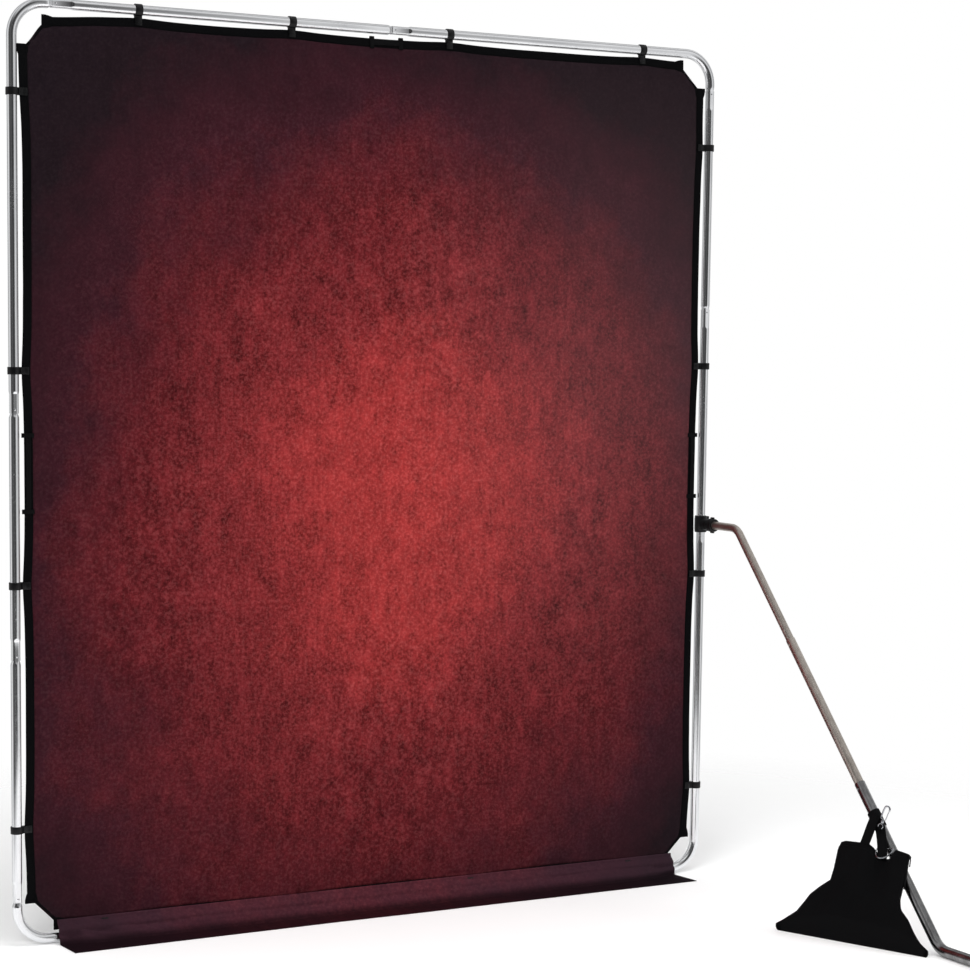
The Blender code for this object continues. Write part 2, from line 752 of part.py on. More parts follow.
clear_scene()
parts = make_collection("backdrop_panel")
cutters = make_collection("cutters")
panel_origin = empty("panel_origin", (0, 0, 0))
leg_frame = empty("leg_frame", (RIGHT, 0, 0), (0, 0, LEG_AZIMUTH - math.pi / 2), panel_origin)
bag_frame = empty("bag_frame", (*BAG_FOOT, 0), (0, 0, BAG_YAW), panel_origin)
build_frame(panel_origin)
build_clips(panel_origin)
build_cloth(panel_origin)
build_clamp(leg_frame)
build_leg(leg_frame)
build_bag(bag_frame, leg_frame)
centre_footprint(panel_origin)
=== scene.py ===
"""Looks of the collapsible backdrop panel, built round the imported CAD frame."""
import json
import math

import bmesh
import bpy
from mathutils import Matrix, Vector, noise


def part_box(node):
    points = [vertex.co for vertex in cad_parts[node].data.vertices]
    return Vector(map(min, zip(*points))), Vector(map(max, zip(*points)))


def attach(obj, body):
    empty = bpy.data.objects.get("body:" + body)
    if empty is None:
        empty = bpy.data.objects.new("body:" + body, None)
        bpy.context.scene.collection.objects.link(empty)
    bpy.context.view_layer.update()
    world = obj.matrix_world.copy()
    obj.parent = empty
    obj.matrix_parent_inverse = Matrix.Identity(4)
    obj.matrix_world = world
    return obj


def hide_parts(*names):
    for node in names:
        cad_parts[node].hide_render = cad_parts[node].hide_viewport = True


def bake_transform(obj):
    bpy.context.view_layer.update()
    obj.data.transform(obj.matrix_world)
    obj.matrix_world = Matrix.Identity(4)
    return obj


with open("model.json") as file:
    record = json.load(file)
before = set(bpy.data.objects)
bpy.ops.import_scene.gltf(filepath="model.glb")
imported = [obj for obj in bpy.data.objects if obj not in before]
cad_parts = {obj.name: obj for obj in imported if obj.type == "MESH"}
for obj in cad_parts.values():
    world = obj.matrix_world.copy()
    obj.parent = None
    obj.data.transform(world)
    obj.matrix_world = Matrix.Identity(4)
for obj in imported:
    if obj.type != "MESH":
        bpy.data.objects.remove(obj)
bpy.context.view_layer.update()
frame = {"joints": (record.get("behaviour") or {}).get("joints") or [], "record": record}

# ---- places read from the frame ----
joints = {joint["name"]: joint for joint in frame["joints"]}
node_body = {}
for body_name, body_nodes in frame["record"]["behaviour"]["bodies"].items():
    for body_node in body_nodes:
        node_body[body_node] = body_name


def middle(node):
    low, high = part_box(node)
    return (Vector(low) + Vector(high)) / 2


def size(node):
    low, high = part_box(node)
    return Vector(high) - Vector(low)


UP = Vector((0, 0, 1))
FRONT = Vector((0, -1, 0))
OUTWARD = {"left": Vector((-1, 0, 0)), "right": Vector((1, 0, 0)), "top": UP, "bottom": -UP}
TUBE_R = size("cross_tube_top").y / 2
PANEL_Y = middle("cross_tube_top").y
LEFT = middle("upright_tube_left_lower").x
RIGHT = middle("upright_tube_right_lower").x
PANEL_X = (LEFT + RIGHT) / 2
TOP = middle("cross_tube_top").z
BASE = middle("cross_tube_bottom").z
PANEL = Vector((PANEL_X, PANEL_Y, 0))

# ---- frame tubes ----
WALL = 0.0012
GAP = 0.0003
MOUTH_FLAT = 0.0101
MOUTH_CORNER = 0.0120
SPIGOT_FLAT = MOUTH_FLAT - WALL - GAP
SPIGOT_CORNER = MOUTH_CORNER - WALL - GAP
MOUTH_LENGTH = 0.045
RAMP = 0.010
SPIGOT_LENGTH = 0.046
CORNER_BEND = 0.08
BUTTON_R = 0.0027

# ---- cloth ----
SLEEVE_WIDTH = size("sleeve_left").x
SLEEVE_THICK = size("sleeve_left").y
CLOTH_LOW, CLOTH_HIGH = (Vector(corner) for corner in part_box("cloth_panel"))
CORNER_CUT = 0.047
SLEEVE_STEP = 0.009
STITCH_PITCH = 0.0045
BAND_HALF = 0.0055
SCALLOP_OUT = 0.0030
SCALLOP_IN = -0.0022

FLAP_FALL = 0.56
FLAP_BEND = 0.40
TUBE_CLEAR = 0.0185
CLOTH_THICK = 0.0008
FLAP_THICK = 0.0009

# ---- print: the middle of its glow ----
GLOW_X = 0.09
GLOW_Z = 1.13

# ---- leg ----
CLAMP = Vector(joints["leg_swivel"]["pos_m"])
LEG_DIR = Vector(joints["collar_twist"]["axis"]).normalized()
SLOPE_UP = Vector(joints["middle_telescope"]["axis"]).normalized()
LEG_SIDE = UP.cross(LEG_DIR).normalized()
KNEE_OUT = 0.169
KNEE = CLAMP + LEG_DIR * KNEE_OUT
LEG_R = {"leg_tube_upper": 0.011, "leg_tube_middle": 0.0125, "leg_tube_lower": 0.014}
HEEL = KNEE - SLOPE_UP * ((KNEE.z - LEG_R["leg_tube_lower"]) / SLOPE_UP.z)
FIRST_SEAM = 0.374
SECOND_SEAM = 0.826
OVERLAP = 0.06
FOOT_LENGTH = 0.153
KNEE_BEND = 0.05
HEEL_BEND = 0.06
LEG_LIP = 0.0002

# ---- bag ----
BAG_YAW = math.radians(-65.0)
BAG_FOOT = Vector((CLAMP.x - 0.0825, CLAMP.y - 0.855, 0))
BAG = Matrix.Translation(BAG_FOOT) @ Matrix.Rotation(BAG_YAW, 4, "Z")
WRAP = Vector(joints["bag_swing"]["pos_m"])
PIPING_R = 0.0014
STITCH_R = 0.0003
STITCH_SHARE = 0.9
STRAP_WIDTH = 0.0262
STRAP_THICK = 0.0020

# ---- D-ring, snap hook and zip, in the bag's own frame ----
RING_X = 0.044
RING_HALF = 0.021
HOOK_FOOT = Vector((0.0206, 0.0960, 0.2820))
HOOK_TOP = Vector((0.0420, 0.0990, 0.3405))
EYE_R = 0.0065
EYE_WIRE = 0.0014
HOOK_R = 0.0075
HOOK_WIRE = 0.0022
BARREL_LENGTH = 0.009
ZIP_TOP = (0.1163, 0.0731, 0.2320)
ZIP_LEAN = math.radians(14.2)
ZIP_LENGTH = 0.087


# ------------------------------------------------------------------ material tools
def srgb(*colour):
    """A display colour, 0 to 255, as the linear colour that nodes take."""
    linear = []
    for channel in colour:
        c = channel / 255
        linear.append(c / 12.92 if c <= 0.04045 else ((c + 0.055) / 1.055) ** 2.4)
    return (*linear, 1.0)


def add(tree, kind, inputs=None, **settings):
    """A shader node; an input that is a socket is linked, any other is set."""
    made = tree.nodes.new("ShaderNode" + kind)
    for key, value in settings.items():
        setattr(made, key, value)
    for key, value in (inputs or {}).items():
        if isinstance(value, bpy.types.NodeSocket):
            tree.links.new(value, made.inputs[key])
        else:
            made.inputs[key].default_value = value
    return made


def calc(tree, operation, first, second=0.0, clamp=False):
    made = add(tree, "Math", {0: first, 1: second}, operation=operation, use_clamp=clamp)
    return made.outputs[0]


def times(tree, first, second):
    return calc(tree, "MULTIPLY", first, second)


def plus(tree, first, second):
    return calc(tree, "ADD", first, second)


def spread(tree, value, low, high, to_low=0.0, to_high=1.0):
    made = add(tree, "MapRange", {"Value": value, "From Min": low, "From Max": high,
                                  "To Min": to_low, "To Max": to_high})
    return made.outputs["Result"]


def ramp(tree, value, stops):
    made = add(tree, "ValToRGB", {"Fac": value})
    band = made.color_ramp
    while len(band.elements) < len(stops):
        band.elements.new(0.5)
    for element, (place, colour) in zip(band.elements, stops):
        element.position = place
        element.color = colour
    return made.outputs["Color"]


def mix(tree, factor, first, second):
    """A colour between two; each input is a value or a socket."""
    made = add(tree, "Mix", data_type="RGBA")
    for socket, value in zip((made.inputs[0], made.inputs[6], made.inputs[7]),
                             (factor, first, second)):
        if isinstance(value, bpy.types.NodeSocket):
            tree.links.new(value, socket)
        else:
            socket.default_value = value
    return made.outputs[2]


def object_coords(tree, scale=(1, 1, 1)):
    where = add(tree, "TexCoord").outputs["Object"]
    return add(tree, "Mapping", {"Vector": where, "Scale": scale}).outputs[0]


def grain(tree, coords, scale, detail=3.0, rough=0.5):
    made = add(tree, "TexNoise", {"Vector": coords, "Scale": scale, "Detail": detail,
                                  "Roughness": rough})
    return made.outputs["Fac"]


def bump(tree, height, strength, distance):
    return add(tree, "Bump", {"Height": height, "Strength": strength,
                              "Distance": distance}).outputs["Normal"]


def start_material(name, **values):
    made = bpy.data.materials.new(name)
    made.use_nodes = True
    tree = made.node_tree
    shader = tree.nodes["Principled BSDF"]
    for key, value in values.items():
        shader.inputs[key.replace("_", " ")].default_value = value
    return made, tree, shader


def connect(tree, shader, **sockets):
    for key, socket in sockets.items():
        tree.links.new(socket, shader.inputs[key.replace("_", " ")])


# ------------------------------------------------------------------ materials
def drawn_metal(name, colour, dull, lines, rough_low, rough_high):
    """Metal with fine lines left by drawing, smudges, and small scuffs."""
    made, tree, shader = start_material(name, Metallic=1.0)
    streak = grain(tree, object_coords(tree, lines), 1.0, 4.0, 0.6)
    smudge = grain(tree, object_coords(tree), 9.0, 4.0, 0.55)
    scuff = grain(tree, object_coords(tree), 160.0, 2.0, 0.6)
    worn = calc(tree, "MULTIPLY", spread(tree, smudge, 0.52, 0.72),
                spread(tree, scuff, 0.5, 0.75), True)
    tone = mix(tree, spread(tree, streak, 0.35, 0.75), colour, dull)
    connect(tree, shader, Base_Color=mix(tree, times(tree, worn, 0.5), tone, dull))
    rough = spread(tree, smudge, 0.3, 0.7, rough_low, rough_high)
    connect(tree, shader, Roughness=plus(tree, rough, times(tree, worn, 0.2)))
    connect(tree, shader, Normal=bump(tree, streak, 0.04, 0.0004))
    return made


def moulded_plastic():
    made, tree, shader = start_material("moulded_black", Specular_IOR_Level=0.25)
    coords = object_coords(tree)
    speck = grain(tree, coords, 900.0, 3.0, 0.6)
    patch = grain(tree, coords, 40.0, 3.0, 0.5)
    connect(tree, shader, Base_Color=mix(tree, spread(tree, patch, 0.35, 0.7),
                                         srgb(7, 7, 8), srgb(17, 17, 18)))
    connect(tree, shader, Roughness=spread(tree, patch, 0.3, 0.7, 0.34, 0.52))
    connect(tree, shader, Normal=bump(tree, speck, 0.25, 0.0003))
    return made


def red_cap():
    made, tree, shader = start_material("red_cap", Specular_IOR_Level=0.45)
    patch = grain(tree, object_coords(tree), 120.0, 3.0, 0.5)
    connect(tree, shader, Base_Color=mix(tree, patch, srgb(150, 22, 40), srgb(176, 44, 60)))
    connect(tree, shader, Roughness=spread(tree, patch, 0.3, 0.7, 0.35, 0.5))
    connect(tree, shader, Normal=bump(tree, patch, 0.15, 0.0003))
    return made


def weave(tree, coords, scale):
    """Plain weave: two crossed sets of threads, as a height from 0 to 1."""
    threads = []
    for direction in ("X", "Z"):
        wave = add(tree, "TexWave", {"Vector": coords, "Scale": scale, "Distortion": 0.6,
                                     "Detail": 1.0, "Detail Scale": 2.0},
                   bands_direction=direction)
        threads.append(wave.outputs["Fac"])
    return times(tree, plus(tree, *threads), 0.5)


def stroke_coords(tree, stretch, turn):
    """Object coordinates turned in the panel's plane, then stretched."""
    where = add(tree, "TexCoord").outputs["Object"]
    shrink = tuple(1 / amount for amount in stretch)
    return add(tree, "Mapping", {"Vector": where, "Scale": shrink,
                                 "Rotation": (0, math.radians(turn), 0)},
               vector_type="TEXTURE").outputs[0]


def printed_cloth(name, strength=0.74, rough=0.9, painted_haze=0.0, floor_shade_level=1.0):
    """The print: a glowing red field that fades to dark wine at the edges, in brush marks."""
    made, tree, shader = start_material(name, Specular_IOR_Level=0.05)
    coords = object_coords(tree)
    parts = add(tree, "SeparateXYZ", {"Vector": coords})
    across = calc(tree, "SUBTRACT", parts.outputs["X"], PANEL_X + GLOW_X)
    height = calc(tree, "SUBTRACT", parts.outputs["Z"], GLOW_Z)
    above = calc(tree, "GREATER_THAN", height, 0.0)
    reach = calc(tree, "SUBTRACT", 1.30, times(tree, above, 0.20))
    ring = plus(tree, calc(tree, "POWER", calc(tree, "DIVIDE", across, 1.00), 2.0),
                calc(tree, "POWER", calc(tree, "DIVIDE", height, reach), 2.0))
    ring = calc(tree, "SQRT", ring)
    cloud = grain(tree, coords, 2.1, 3.0, 0.6)
    blotch = grain(tree, coords, 11.0, 5.0, 0.65)
    ring = plus(tree, ring, spread(tree, cloud, 0.3, 0.7, -0.07, 0.07))
    ring = plus(tree, ring, spread(tree, blotch, 0.3, 0.7, -0.05, 0.05))
    # the glow sits low and to the left, so the top and the lower right are darker
    upper = calc(tree, "MAXIMUM", height, 0.0)
    lower = calc(tree, "MINIMUM", height, 0.0)
    for amount, share in ((upper, 0.115), (times(tree, across, upper), 0.09),
                          (times(tree, across, lower), -0.12)):
        ring = plus(tree, ring, times(tree, amount, share))
    field = ramp(tree, calc(tree, "DIVIDE", ring, 1.5), (
        (0.0, srgb(163, 52, 51)), (0.2, srgb(148, 47, 47)), (0.333, srgb(118, 37, 40)),
        (0.5, srgb(92, 28, 33)), (0.667, srgb(56, 24, 32)), (0.833, srgb(30, 20, 25)),
        (1.0, srgb(26, 19, 24)),
    ))
    # brush marks: strokes in two directions, upright streaks, dabs, and worn patches
    first = grain(tree, stroke_coords(tree, (28, 1, 160), 35), 1.0, 3.0, 0.6)
    second = grain(tree, stroke_coords(tree, (34, 1, 150), -38), 1.0, 3.0, 0.6)
    marks = spread(tree, plus(tree, first, second), 0.76, 1.24)
    streaks = spread(tree, grain(tree, stroke_coords(tree, (80, 1, 11), 0), 1.0, 4.0, 0.65),
                     0.3, 0.7)
    dabs = spread(tree, grain(tree, coords, 120.0, 4.0, 0.75), 0.34, 0.66)
    patches = spread(tree, grain(tree, stroke_coords(tree, (24, 1, 15), 0), 1.0, 5.0, 0.7),
                     0.3, 0.7)
    texture = times(tree, marks, 0.22)
    for layer, share in ((streaks, 0.22), (dabs, 0.52), (patches, 0.50)):
        texture = plus(tree, texture, times(tree, layer, share))
    texture = calc(tree, "SUBTRACT", texture, 0.23)
    contrast = times(tree, spread(tree, ring, 0.2, 0.55, 1.12, 1.5),
                    spread(tree, ring, 0.7, 1.1, 1.0, 0.24))
    light = plus(tree, 1.0, times(tree, contrast,
                                        calc(tree, "SUBTRACT", texture, 0.5)))
    light = times(tree, light, strength)
    shade = add(tree, "VectorMath", {0: field, "Scale": light}, operation="SCALE")
    # pale flecks where the red is brightest, and a painted grey sheen at the middle of the right side
    fleck = times(tree, spread(tree, dabs, 0.45, 0.95),
                 spread(tree, ring, 0.2, 1.1, 0.035, 0.003))
    colour = mix(tree, fleck, shade.outputs[0], srgb(225, 205, 198))
    off = calc(tree, "ABSOLUTE", calc(tree, "SUBTRACT", parts.outputs["Z"], 1.40))
    # painted sheen: a grey haze mixed into the colour, strongest at the middle of the right side
    painted_sheen = times(tree, spread(tree, off, 0.1, 0.9, 0.20, 0.02),
                 spread(tree, parts.outputs["X"], PANEL_X, PANEL_X + 0.6))
    colour = mix(tree, painted_sheen, colour, srgb(84, 70, 72))
    # painted sheen: a grey-violet haze mixed into the colour by the amount given (none on the panel,
    # 0.22 on the flap)
    colour = mix(tree, painted_haze, colour, srgb(70, 50, 62))
    # painted shade: cloth below 6 mm, where it lies on the floor, is darkened to the factor given,
    # fading out by 18 mm (0.35 on the flap, none on the panel)
    floor_part_shade = spread(tree, parts.outputs["Z"], 0.006, 0.018, floor_shade_level, 1.0)
    colour = add(tree, "VectorMath", {0: colour, "Scale": floor_part_shade}, operation="SCALE").outputs[0]
    connect(tree, shader, Base_Color=colour)
    connect(tree, shader, Roughness=spread(tree, blotch, 0.3, 0.7, rough - 0.06, rough + 0.06))
    cloth = plus(tree, weave(tree, coords, 330.0), times(tree, dabs, 0.5))
    connect(tree, shader, Normal=bump(tree, cloth, 0.18, 0.0006))
    return made


def plain_cloth(name, colour, lighter, scale, rough=0.85, strength=0.35):
    made, tree, shader = start_material(name, Specular_IOR_Level=0.07)
    coords = object_coords(tree)
    threads = weave(tree, coords, scale)
    patch = grain(tree, coords, 24.0, 4.0, 0.6)
    lint = grain(tree, coords, 420.0, 2.0, 0.7)
    amount = times(tree, spread(tree, threads, 0.3, 0.9, 0.2, 1.0),
                  spread(tree, patch, 0.3, 0.7, 0.5, 1.0))
    tone = mix(tree, amount, colour, lighter)
    tone = mix(tree, spread(tree, lint, 0.68, 0.8, 0.0, 0.2), tone, srgb(48, 47, 48))
    connect(tree, shader, Base_Color=tone)
    connect(tree, shader, Roughness=spread(tree, patch, 0.3, 0.7, rough - 0.08, rough + 0.05))
    connect(tree, shader, Normal=bump(tree, threads, strength, 0.0006))
    return made


ALUMINIUM = drawn_metal("polished_aluminium", srgb(238, 239, 241), srgb(212, 213, 216),
                        (6, 900, 6), 0.12, 0.20)
LEG_METAL = drawn_metal("leg_steel", srgb(202, 194, 186), srgb(172, 164, 156),
                        (120, 60, 8), 0.38, 0.48)
LEG_DARK = drawn_metal("leg_steel_dark", srgb(142, 142, 143), srgb(104, 104, 105),
                       (120, 60, 8), 0.20, 0.30)
CHROME = drawn_metal("chrome", srgb(176, 178, 182), srgb(128, 130, 134), (60, 60, 60), 0.06, 0.14)
BLACK = moulded_plastic()
RED = red_cap()
PRINT = printed_cloth("printed_cloth")
# the flap's print, with painted sheen (0.22) and painted shade on the part that lies on the floor
# (0.35)
FLAP_PRINT = printed_cloth("flap_cloth", 0.74, 0.8, 0.22, 0.35)
BACKING = plain_cloth("cloth_back", srgb(34, 20, 24), srgb(52, 30, 35), 330.0)
SLEEVE = plain_cloth("sleeve_cloth", srgb(3, 3, 4), srgb(9, 9, 10), 420.0)
CORDURA = plain_cloth("bag_cordura", srgb(4, 4, 5), srgb(14, 14, 15), 380.0, 0.8, 0.6)
WEBBING = plain_cloth("webbing", srgb(5, 5, 6), srgb(17, 17, 18), 260.0, 0.8, 0.7)
THREAD = plain_cloth("thread", srgb(16, 16, 17), srgb(34, 34, 36), 900.0, 0.6, 0.3)


# ------------------------------------------------------------------ mesh tools
def new_piece(name, bm, material, body, nodes=(), smooth=38):
    """A finished mesh as a piece that rides on a body and may stand for CAD nodes."""
    bmesh.ops.recalc_face_normals(bm, faces=bm.faces)
    data = bpy.data.meshes.new(name)
    bm.to_mesh(data)
    bm.free()
    data.materials.append(material)
    data.shade_smooth()
    data.set_sharp_from_angle(angle=math.radians(smooth))
    made = bpy.data.objects.new(name, data)
    bpy.context.scene.collection.objects.link(made)
    if body:
        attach(made, body)
    if nodes:
        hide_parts(*nodes)
    return made


def placed_piece(matrix, name, bm, *finish):
    """A piece drawn in its own frame, then moved to its place."""
    bmesh.ops.transform(bm, matrix=matrix, verts=bm.verts)
    return new_piece(name, bm, *finish)


def bake_modifiers(made):
    """Apply every modifier, so that the piece is a plain mesh."""
    bpy.context.view_layer.update()
    shaped = made.evaluated_get(bpy.context.evaluated_depsgraph_get())
    data = bpy.data.meshes.new_from_object(shaped)
    made.modifiers.clear()
    made.data = data


def skin(bm, first, second, closed=True):
    """Faces between two rows of points, which are rings when they are closed."""
    count = len(first)
    for k in range(count if closed else count - 1):
        after = (k + 1) % count
        bm.faces.new((first[k], first[after], second[after], second[k]))


def loft(bm, rings, capped=False):
    """Skins a row of rings, and closes both ends when it is capped."""
    for before, after in zip(rings, rings[1:]):
        skin(bm, before, after)
    if capped:
        bm.faces.new(rings[0])
        bm.faces.new(list(reversed(rings[-1])))


def circle(bm, spot, side, other, radius, sides):
    """A ring of points round a spot, in the plane of two directions."""
    ring = []
    for k in range(sides):
        turn = 2 * math.pi * k / sides
        out = side * math.cos(turn) + other * math.sin(turn)
        ring.append(bm.verts.new(spot + out * radius))
    return ring


def grid_faces(bm, rows):
    for lower, upper in zip(rows, rows[1:]):
        skin(bm, lower, upper, False)


def bent_path(points, radius, steps=14):
    first = (points[1] - points[0]).normalized()
    path = [(points[0], first)]
    for before, here, after in zip(points, points[1:], points[2:]):
        a = (here - before).normalized()
        b = (after - here).normalized()
        angle = a.angle(b)
        inward = (b - a * a.dot(b)).normalized()
        start = here - a * radius * math.tan(angle / 2)
        centre = start + inward * radius
        for k in range(steps + 1):
            turn = angle * k / steps
            spot = centre - inward * radius * math.cos(turn) + a * radius * math.sin(turn)
            path.append((spot, a * math.cos(turn) + inward * math.sin(turn)))
    path.append((points[-1], (points[-1] - points[-2]).normalized()))
    return path


def tube(bm, stations, side, wall=WALL, sides=40):
    """A hollow tube through stations of (centre, direction, flat, corner)."""
    outer, inner = [], []
    for centre, direction, flat, corner in stations:
        up = side.cross(direction).normalized()
        for rings, thick in ((outer, 0.0), (inner, wall)):
            ring = []
            for k in range(sides):
                angle = 2 * math.pi * k / sides
                c, s = math.cos(angle), math.sin(angle)
                reach = min(corner, flat / max(abs(c), abs(s))) - thick
                ring.append(bm.verts.new(centre + (side * c + up * s) * reach))
            rings.append(ring)
    for rings in (outer, inner):
        loft(bm, rings)
    skin(bm, outer[0], inner[0])
    skin(bm, outer[-1], inner[-1])


def lathe(bm, profile, base, axis, sides=32, closed=False):
    """A turned shape: (radius, distance along the axis) from one end to the other."""
    axis = axis.normalized()
    side = axis.orthogonal().normalized()
    other = axis.cross(side)
    rings = []
    for radius, along in profile:
        rings.append(circle(bm, base + axis * along, side, other, max(radius, 1e-6), sides))
    loft(bm, rings, not closed)
    if closed:
        skin(bm, rings[-1], rings[0])


def wire(bm, points, radius, closed=False, sides=12):
    """A round wire through points, with flat ends unless it is closed."""
    count = len(points)
    rings = []
    side = None
    for k, spot in enumerate(points):
        after = points[(k + 1) % count] if closed or k + 1 < count else spot
        before = points[k - 1] if closed or k else spot
        along = (after - before).normalized()
        if side is None:
            side = along.orthogonal().normalized()
        side = (side - along * side.dot(along)).normalized()
        other = along.cross(side)
        rings.append(circle(bm, spot, side, other, radius, sides))
    loft(bm, rings, not closed)
    if closed:
        offset = min(range(sides), key=lambda j: (rings[0][j].co - rings[-1][0].co).length)
        first = rings[0][offset:] + rings[0][:offset]
        skin(bm, rings[-1], first)


def block(bm, low, high, turn=Matrix.Identity(4), rounding=0.0, steps=2):
    """A box with rounded edges."""
    low, high = Vector(low), Vector(high)
    made = bmesh.ops.create_cube(bm, size=1.0)
    verts = made["verts"]
    bmesh.ops.scale(bm, vec=high - low, verts=verts)
    bmesh.ops.translate(bm, vec=(low + high) / 2, verts=verts)
    if rounding:
        edges = list({e for v in verts for e in v.link_edges})
        made = bmesh.ops.bevel(bm, geom=edges, offset=rounding, segments=steps,
                               affect="EDGES", profile=0.5)
        verts = list({v for f in made["faces"] for v in f.verts} | {v for v in verts if v.is_valid})
    bmesh.ops.transform(bm, matrix=turn, verts=verts)


def smooth_curve(points, per_span=8):
    """A Catmull-Rom curve through points."""
    spots = []
    padded = [points[0] * 2 - points[1], *points, points[-1] * 2 - points[-2]]
    for a, b, c, d in zip(padded, padded[1:], padded[2:], padded[3:]):
        for k in range(per_span):
            t = k / per_span
            spots.append(0.5 * ((2 * b) + (c - a) * t + (2 * a - 5 * b + 4 * c - d) * t * t
                                + (3 * b - a - 3 * c + d) * t ** 3))
    spots.append(points[-1])
    return spots


def ease(t):
    t = min(max(t, 0.0), 1.0)
    return t * t * (3 - 2 * t)


def wobble(x, y, z=0.0):
    return noise.noise(Vector((x, y, z)))


# ------------------------------------------------------------------ frame tubes
def quarter(turns):
    return Matrix.Rotation(turns * math.pi / 2, 3, "Y")


def keyed_tube(node, points, turns):
    """A frame tube: square mouth with a button, round length with its bend, square spigot."""
    points = [quarter(turns) @ p for p in points]
    spots = bent_path(points, CORNER_BEND)
    start, first = spots[0]
    end, last = spots[-1]
    stations = [
        (start, first, MOUTH_FLAT + 0.0002, MOUTH_CORNER + 0.0002),
        (start + first * 0.0015, first, MOUTH_FLAT, MOUTH_CORNER),
        (start + first * MOUTH_LENGTH, first, MOUTH_FLAT, MOUTH_CORNER),
    ]
    for k in range(1, 6):
        t = k / 5
        stations.append((start + first * (MOUTH_LENGTH + RAMP * t), first,
                         MOUTH_FLAT + (TUBE_R - MOUTH_FLAT) * ease(t),
                         MOUTH_CORNER + (TUBE_R - MOUTH_CORNER) * ease(t)))
    stations += [(spot, along, TUBE_R, TUBE_R) for spot, along in spots[1:-1]]
    for k in range(6):
        t = k / 5
        stations.append((end - last * (RAMP * 1.2 * (1 - t) + GAP), last,
                         TUBE_R + (SPIGOT_FLAT - TUBE_R) * ease(t),
                         TUBE_R + (SPIGOT_CORNER - TUBE_R) * ease(t)))
    stations += [
        (end + last * (SPIGOT_LENGTH - 0.002), last, SPIGOT_FLAT, SPIGOT_CORNER),
        (end + last * SPIGOT_LENGTH, last, SPIGOT_FLAT - 0.0008, SPIGOT_CORNER - 0.0008),
    ]
    bm = bmesh.new()
    tube(bm, stations, Vector((0, 1, 0)))
    # the spring button that shows in the mouth's front flat
    base = start + first * 0.009 + FRONT * (MOUTH_FLAT - 0.001)
    lathe(bm, [(BUTTON_R, 0.0), (BUTTON_R, 0.0016), (BUTTON_R * 0.7, 0.0026),
               (BUTTON_R * 0.3, 0.0030)], base, FRONT, 20)
    return new_piece("shown_" + node, bm, ALUMINIUM, node_body[node], (node,))


def build_frame():
    long_arm = size("corner_tube_top_left").z - TUBE_R
    short_arm = size("corner_tube_top_left").x - SPIGOT_LENGTH - TUBE_R
    corners = (
        ("corner_tube_top_left", LEFT, TOP, 0),
        ("corner_tube_top_right", RIGHT, TOP, 1),
        ("corner_tube_bottom_right", RIGHT, BASE, 2),
        ("corner_tube_bottom_left", LEFT, BASE, 3),
    )
    for node, x, z, turns in corners:
        back = quarter(-turns)
        spot = back @ Vector((x, PANEL_Y, z))
        keyed_tube(node, [spot - UP * long_arm, spot, spot + Vector((short_arm, 0, 0))], turns)
    straights = (
        ("cross_tube_top", 0), ("upright_tube_right_upper", 1), ("upright_tube_right_lower", 1),
        ("cross_tube_bottom", 2), ("upright_tube_left_lower", 3), ("upright_tube_left_upper", 3),
    )
    for node, turns in straights:
        back = quarter(-turns)
        half = Vector((max(size(node)) / 2, 0, 0))
        spot = back @ middle(node)
        keyed_tube(node, [spot - half, spot + half - Vector((SPIGOT_LENGTH, 0, 0))], turns)


# ------------------------------------------------------------------ clips
def clip_outline():
    """The clip's section: a C round the tube, and two lips that flare over the sleeve."""
    inner, outer = TUBE_R + GAP, TUBE_R + 0.0026
    slot, lip = 0.0026, 0.0052
    reach = 0.036
    start = math.asin(lip / outer)
    inside = math.asin(slot / inner)
    points = [(reach + 0.001, slot + 0.0024), (reach - 0.002, lip), (reach - 0.010, lip - 0.0006)]
    for k in range(33):
        turn = start + (2 * math.pi - 2 * start) * k / 32
        points.append((outer * math.cos(turn), outer * math.sin(turn)))
    points += [(reach - 0.010, 0.0006 - lip), (reach - 0.002, -lip),
               (reach + 0.001, -slot - 0.0024), (reach, -slot - 0.0008), (reach - 0.003, -slot)]
    for k in range(33):
        turn = 2 * math.pi - inside - (2 * math.pi - 2 * inside) * k / 32
        points.append((inner * math.cos(turn), inner * math.sin(turn)))
    points += [(reach - 0.003, slot), (reach, slot + 0.0008)]
    return points


def build_clip(node, x, z, turns):
    turn = Matrix.Translation((x, PANEL_Y, z)) @ quarter(turns).to_4x4()
    half = min(size(node).x, size(node).z) / 2
    bm = bmesh.new()
    outline = [bm.verts.new((px, py, -half)) for px, py in clip_outline()]
    face = bm.faces.new(outline)
    raised = bmesh.ops.extrude_face_region(bm, geom=[face])
    top = [g for g in raised["geom"] if isinstance(g, bmesh.types.BMVert)]
    bmesh.ops.translate(bm, vec=(0, 0, 2 * half), verts=top)
    rims = [e for e in bm.edges if abs(e.verts[0].co.z - e.verts[1].co.z) < 1e-6]
    bmesh.ops.bevel(bm, geom=rims, offset=0.0006, segments=2, affect="EDGES", profile=0.5)
    # ribs across the lips and a hinge barrel where the lips meet the ring
    for sign in (1, -1):
        for k in range(3):
            at = 0.0285 + 0.0025 * k
            block(bm, (at, sign * 0.0052 - 0.0006, -half * 0.8),
                  (at + 0.0011, sign * 0.0052 + 0.0006, half * 0.8), rounding=0.0003, steps=1)
        lathe(bm, [(0.0012, -half * 0.9), (0.0019, -half * 0.82), (0.0019, half * 0.82),
                   (0.0012, half * 0.9)], Vector((0.0165, sign * 0.0054, 0)), UP, 14)
    placed_piece(turn, "shown_" + node, bm, BLACK, node_body[node], (node,), 40)


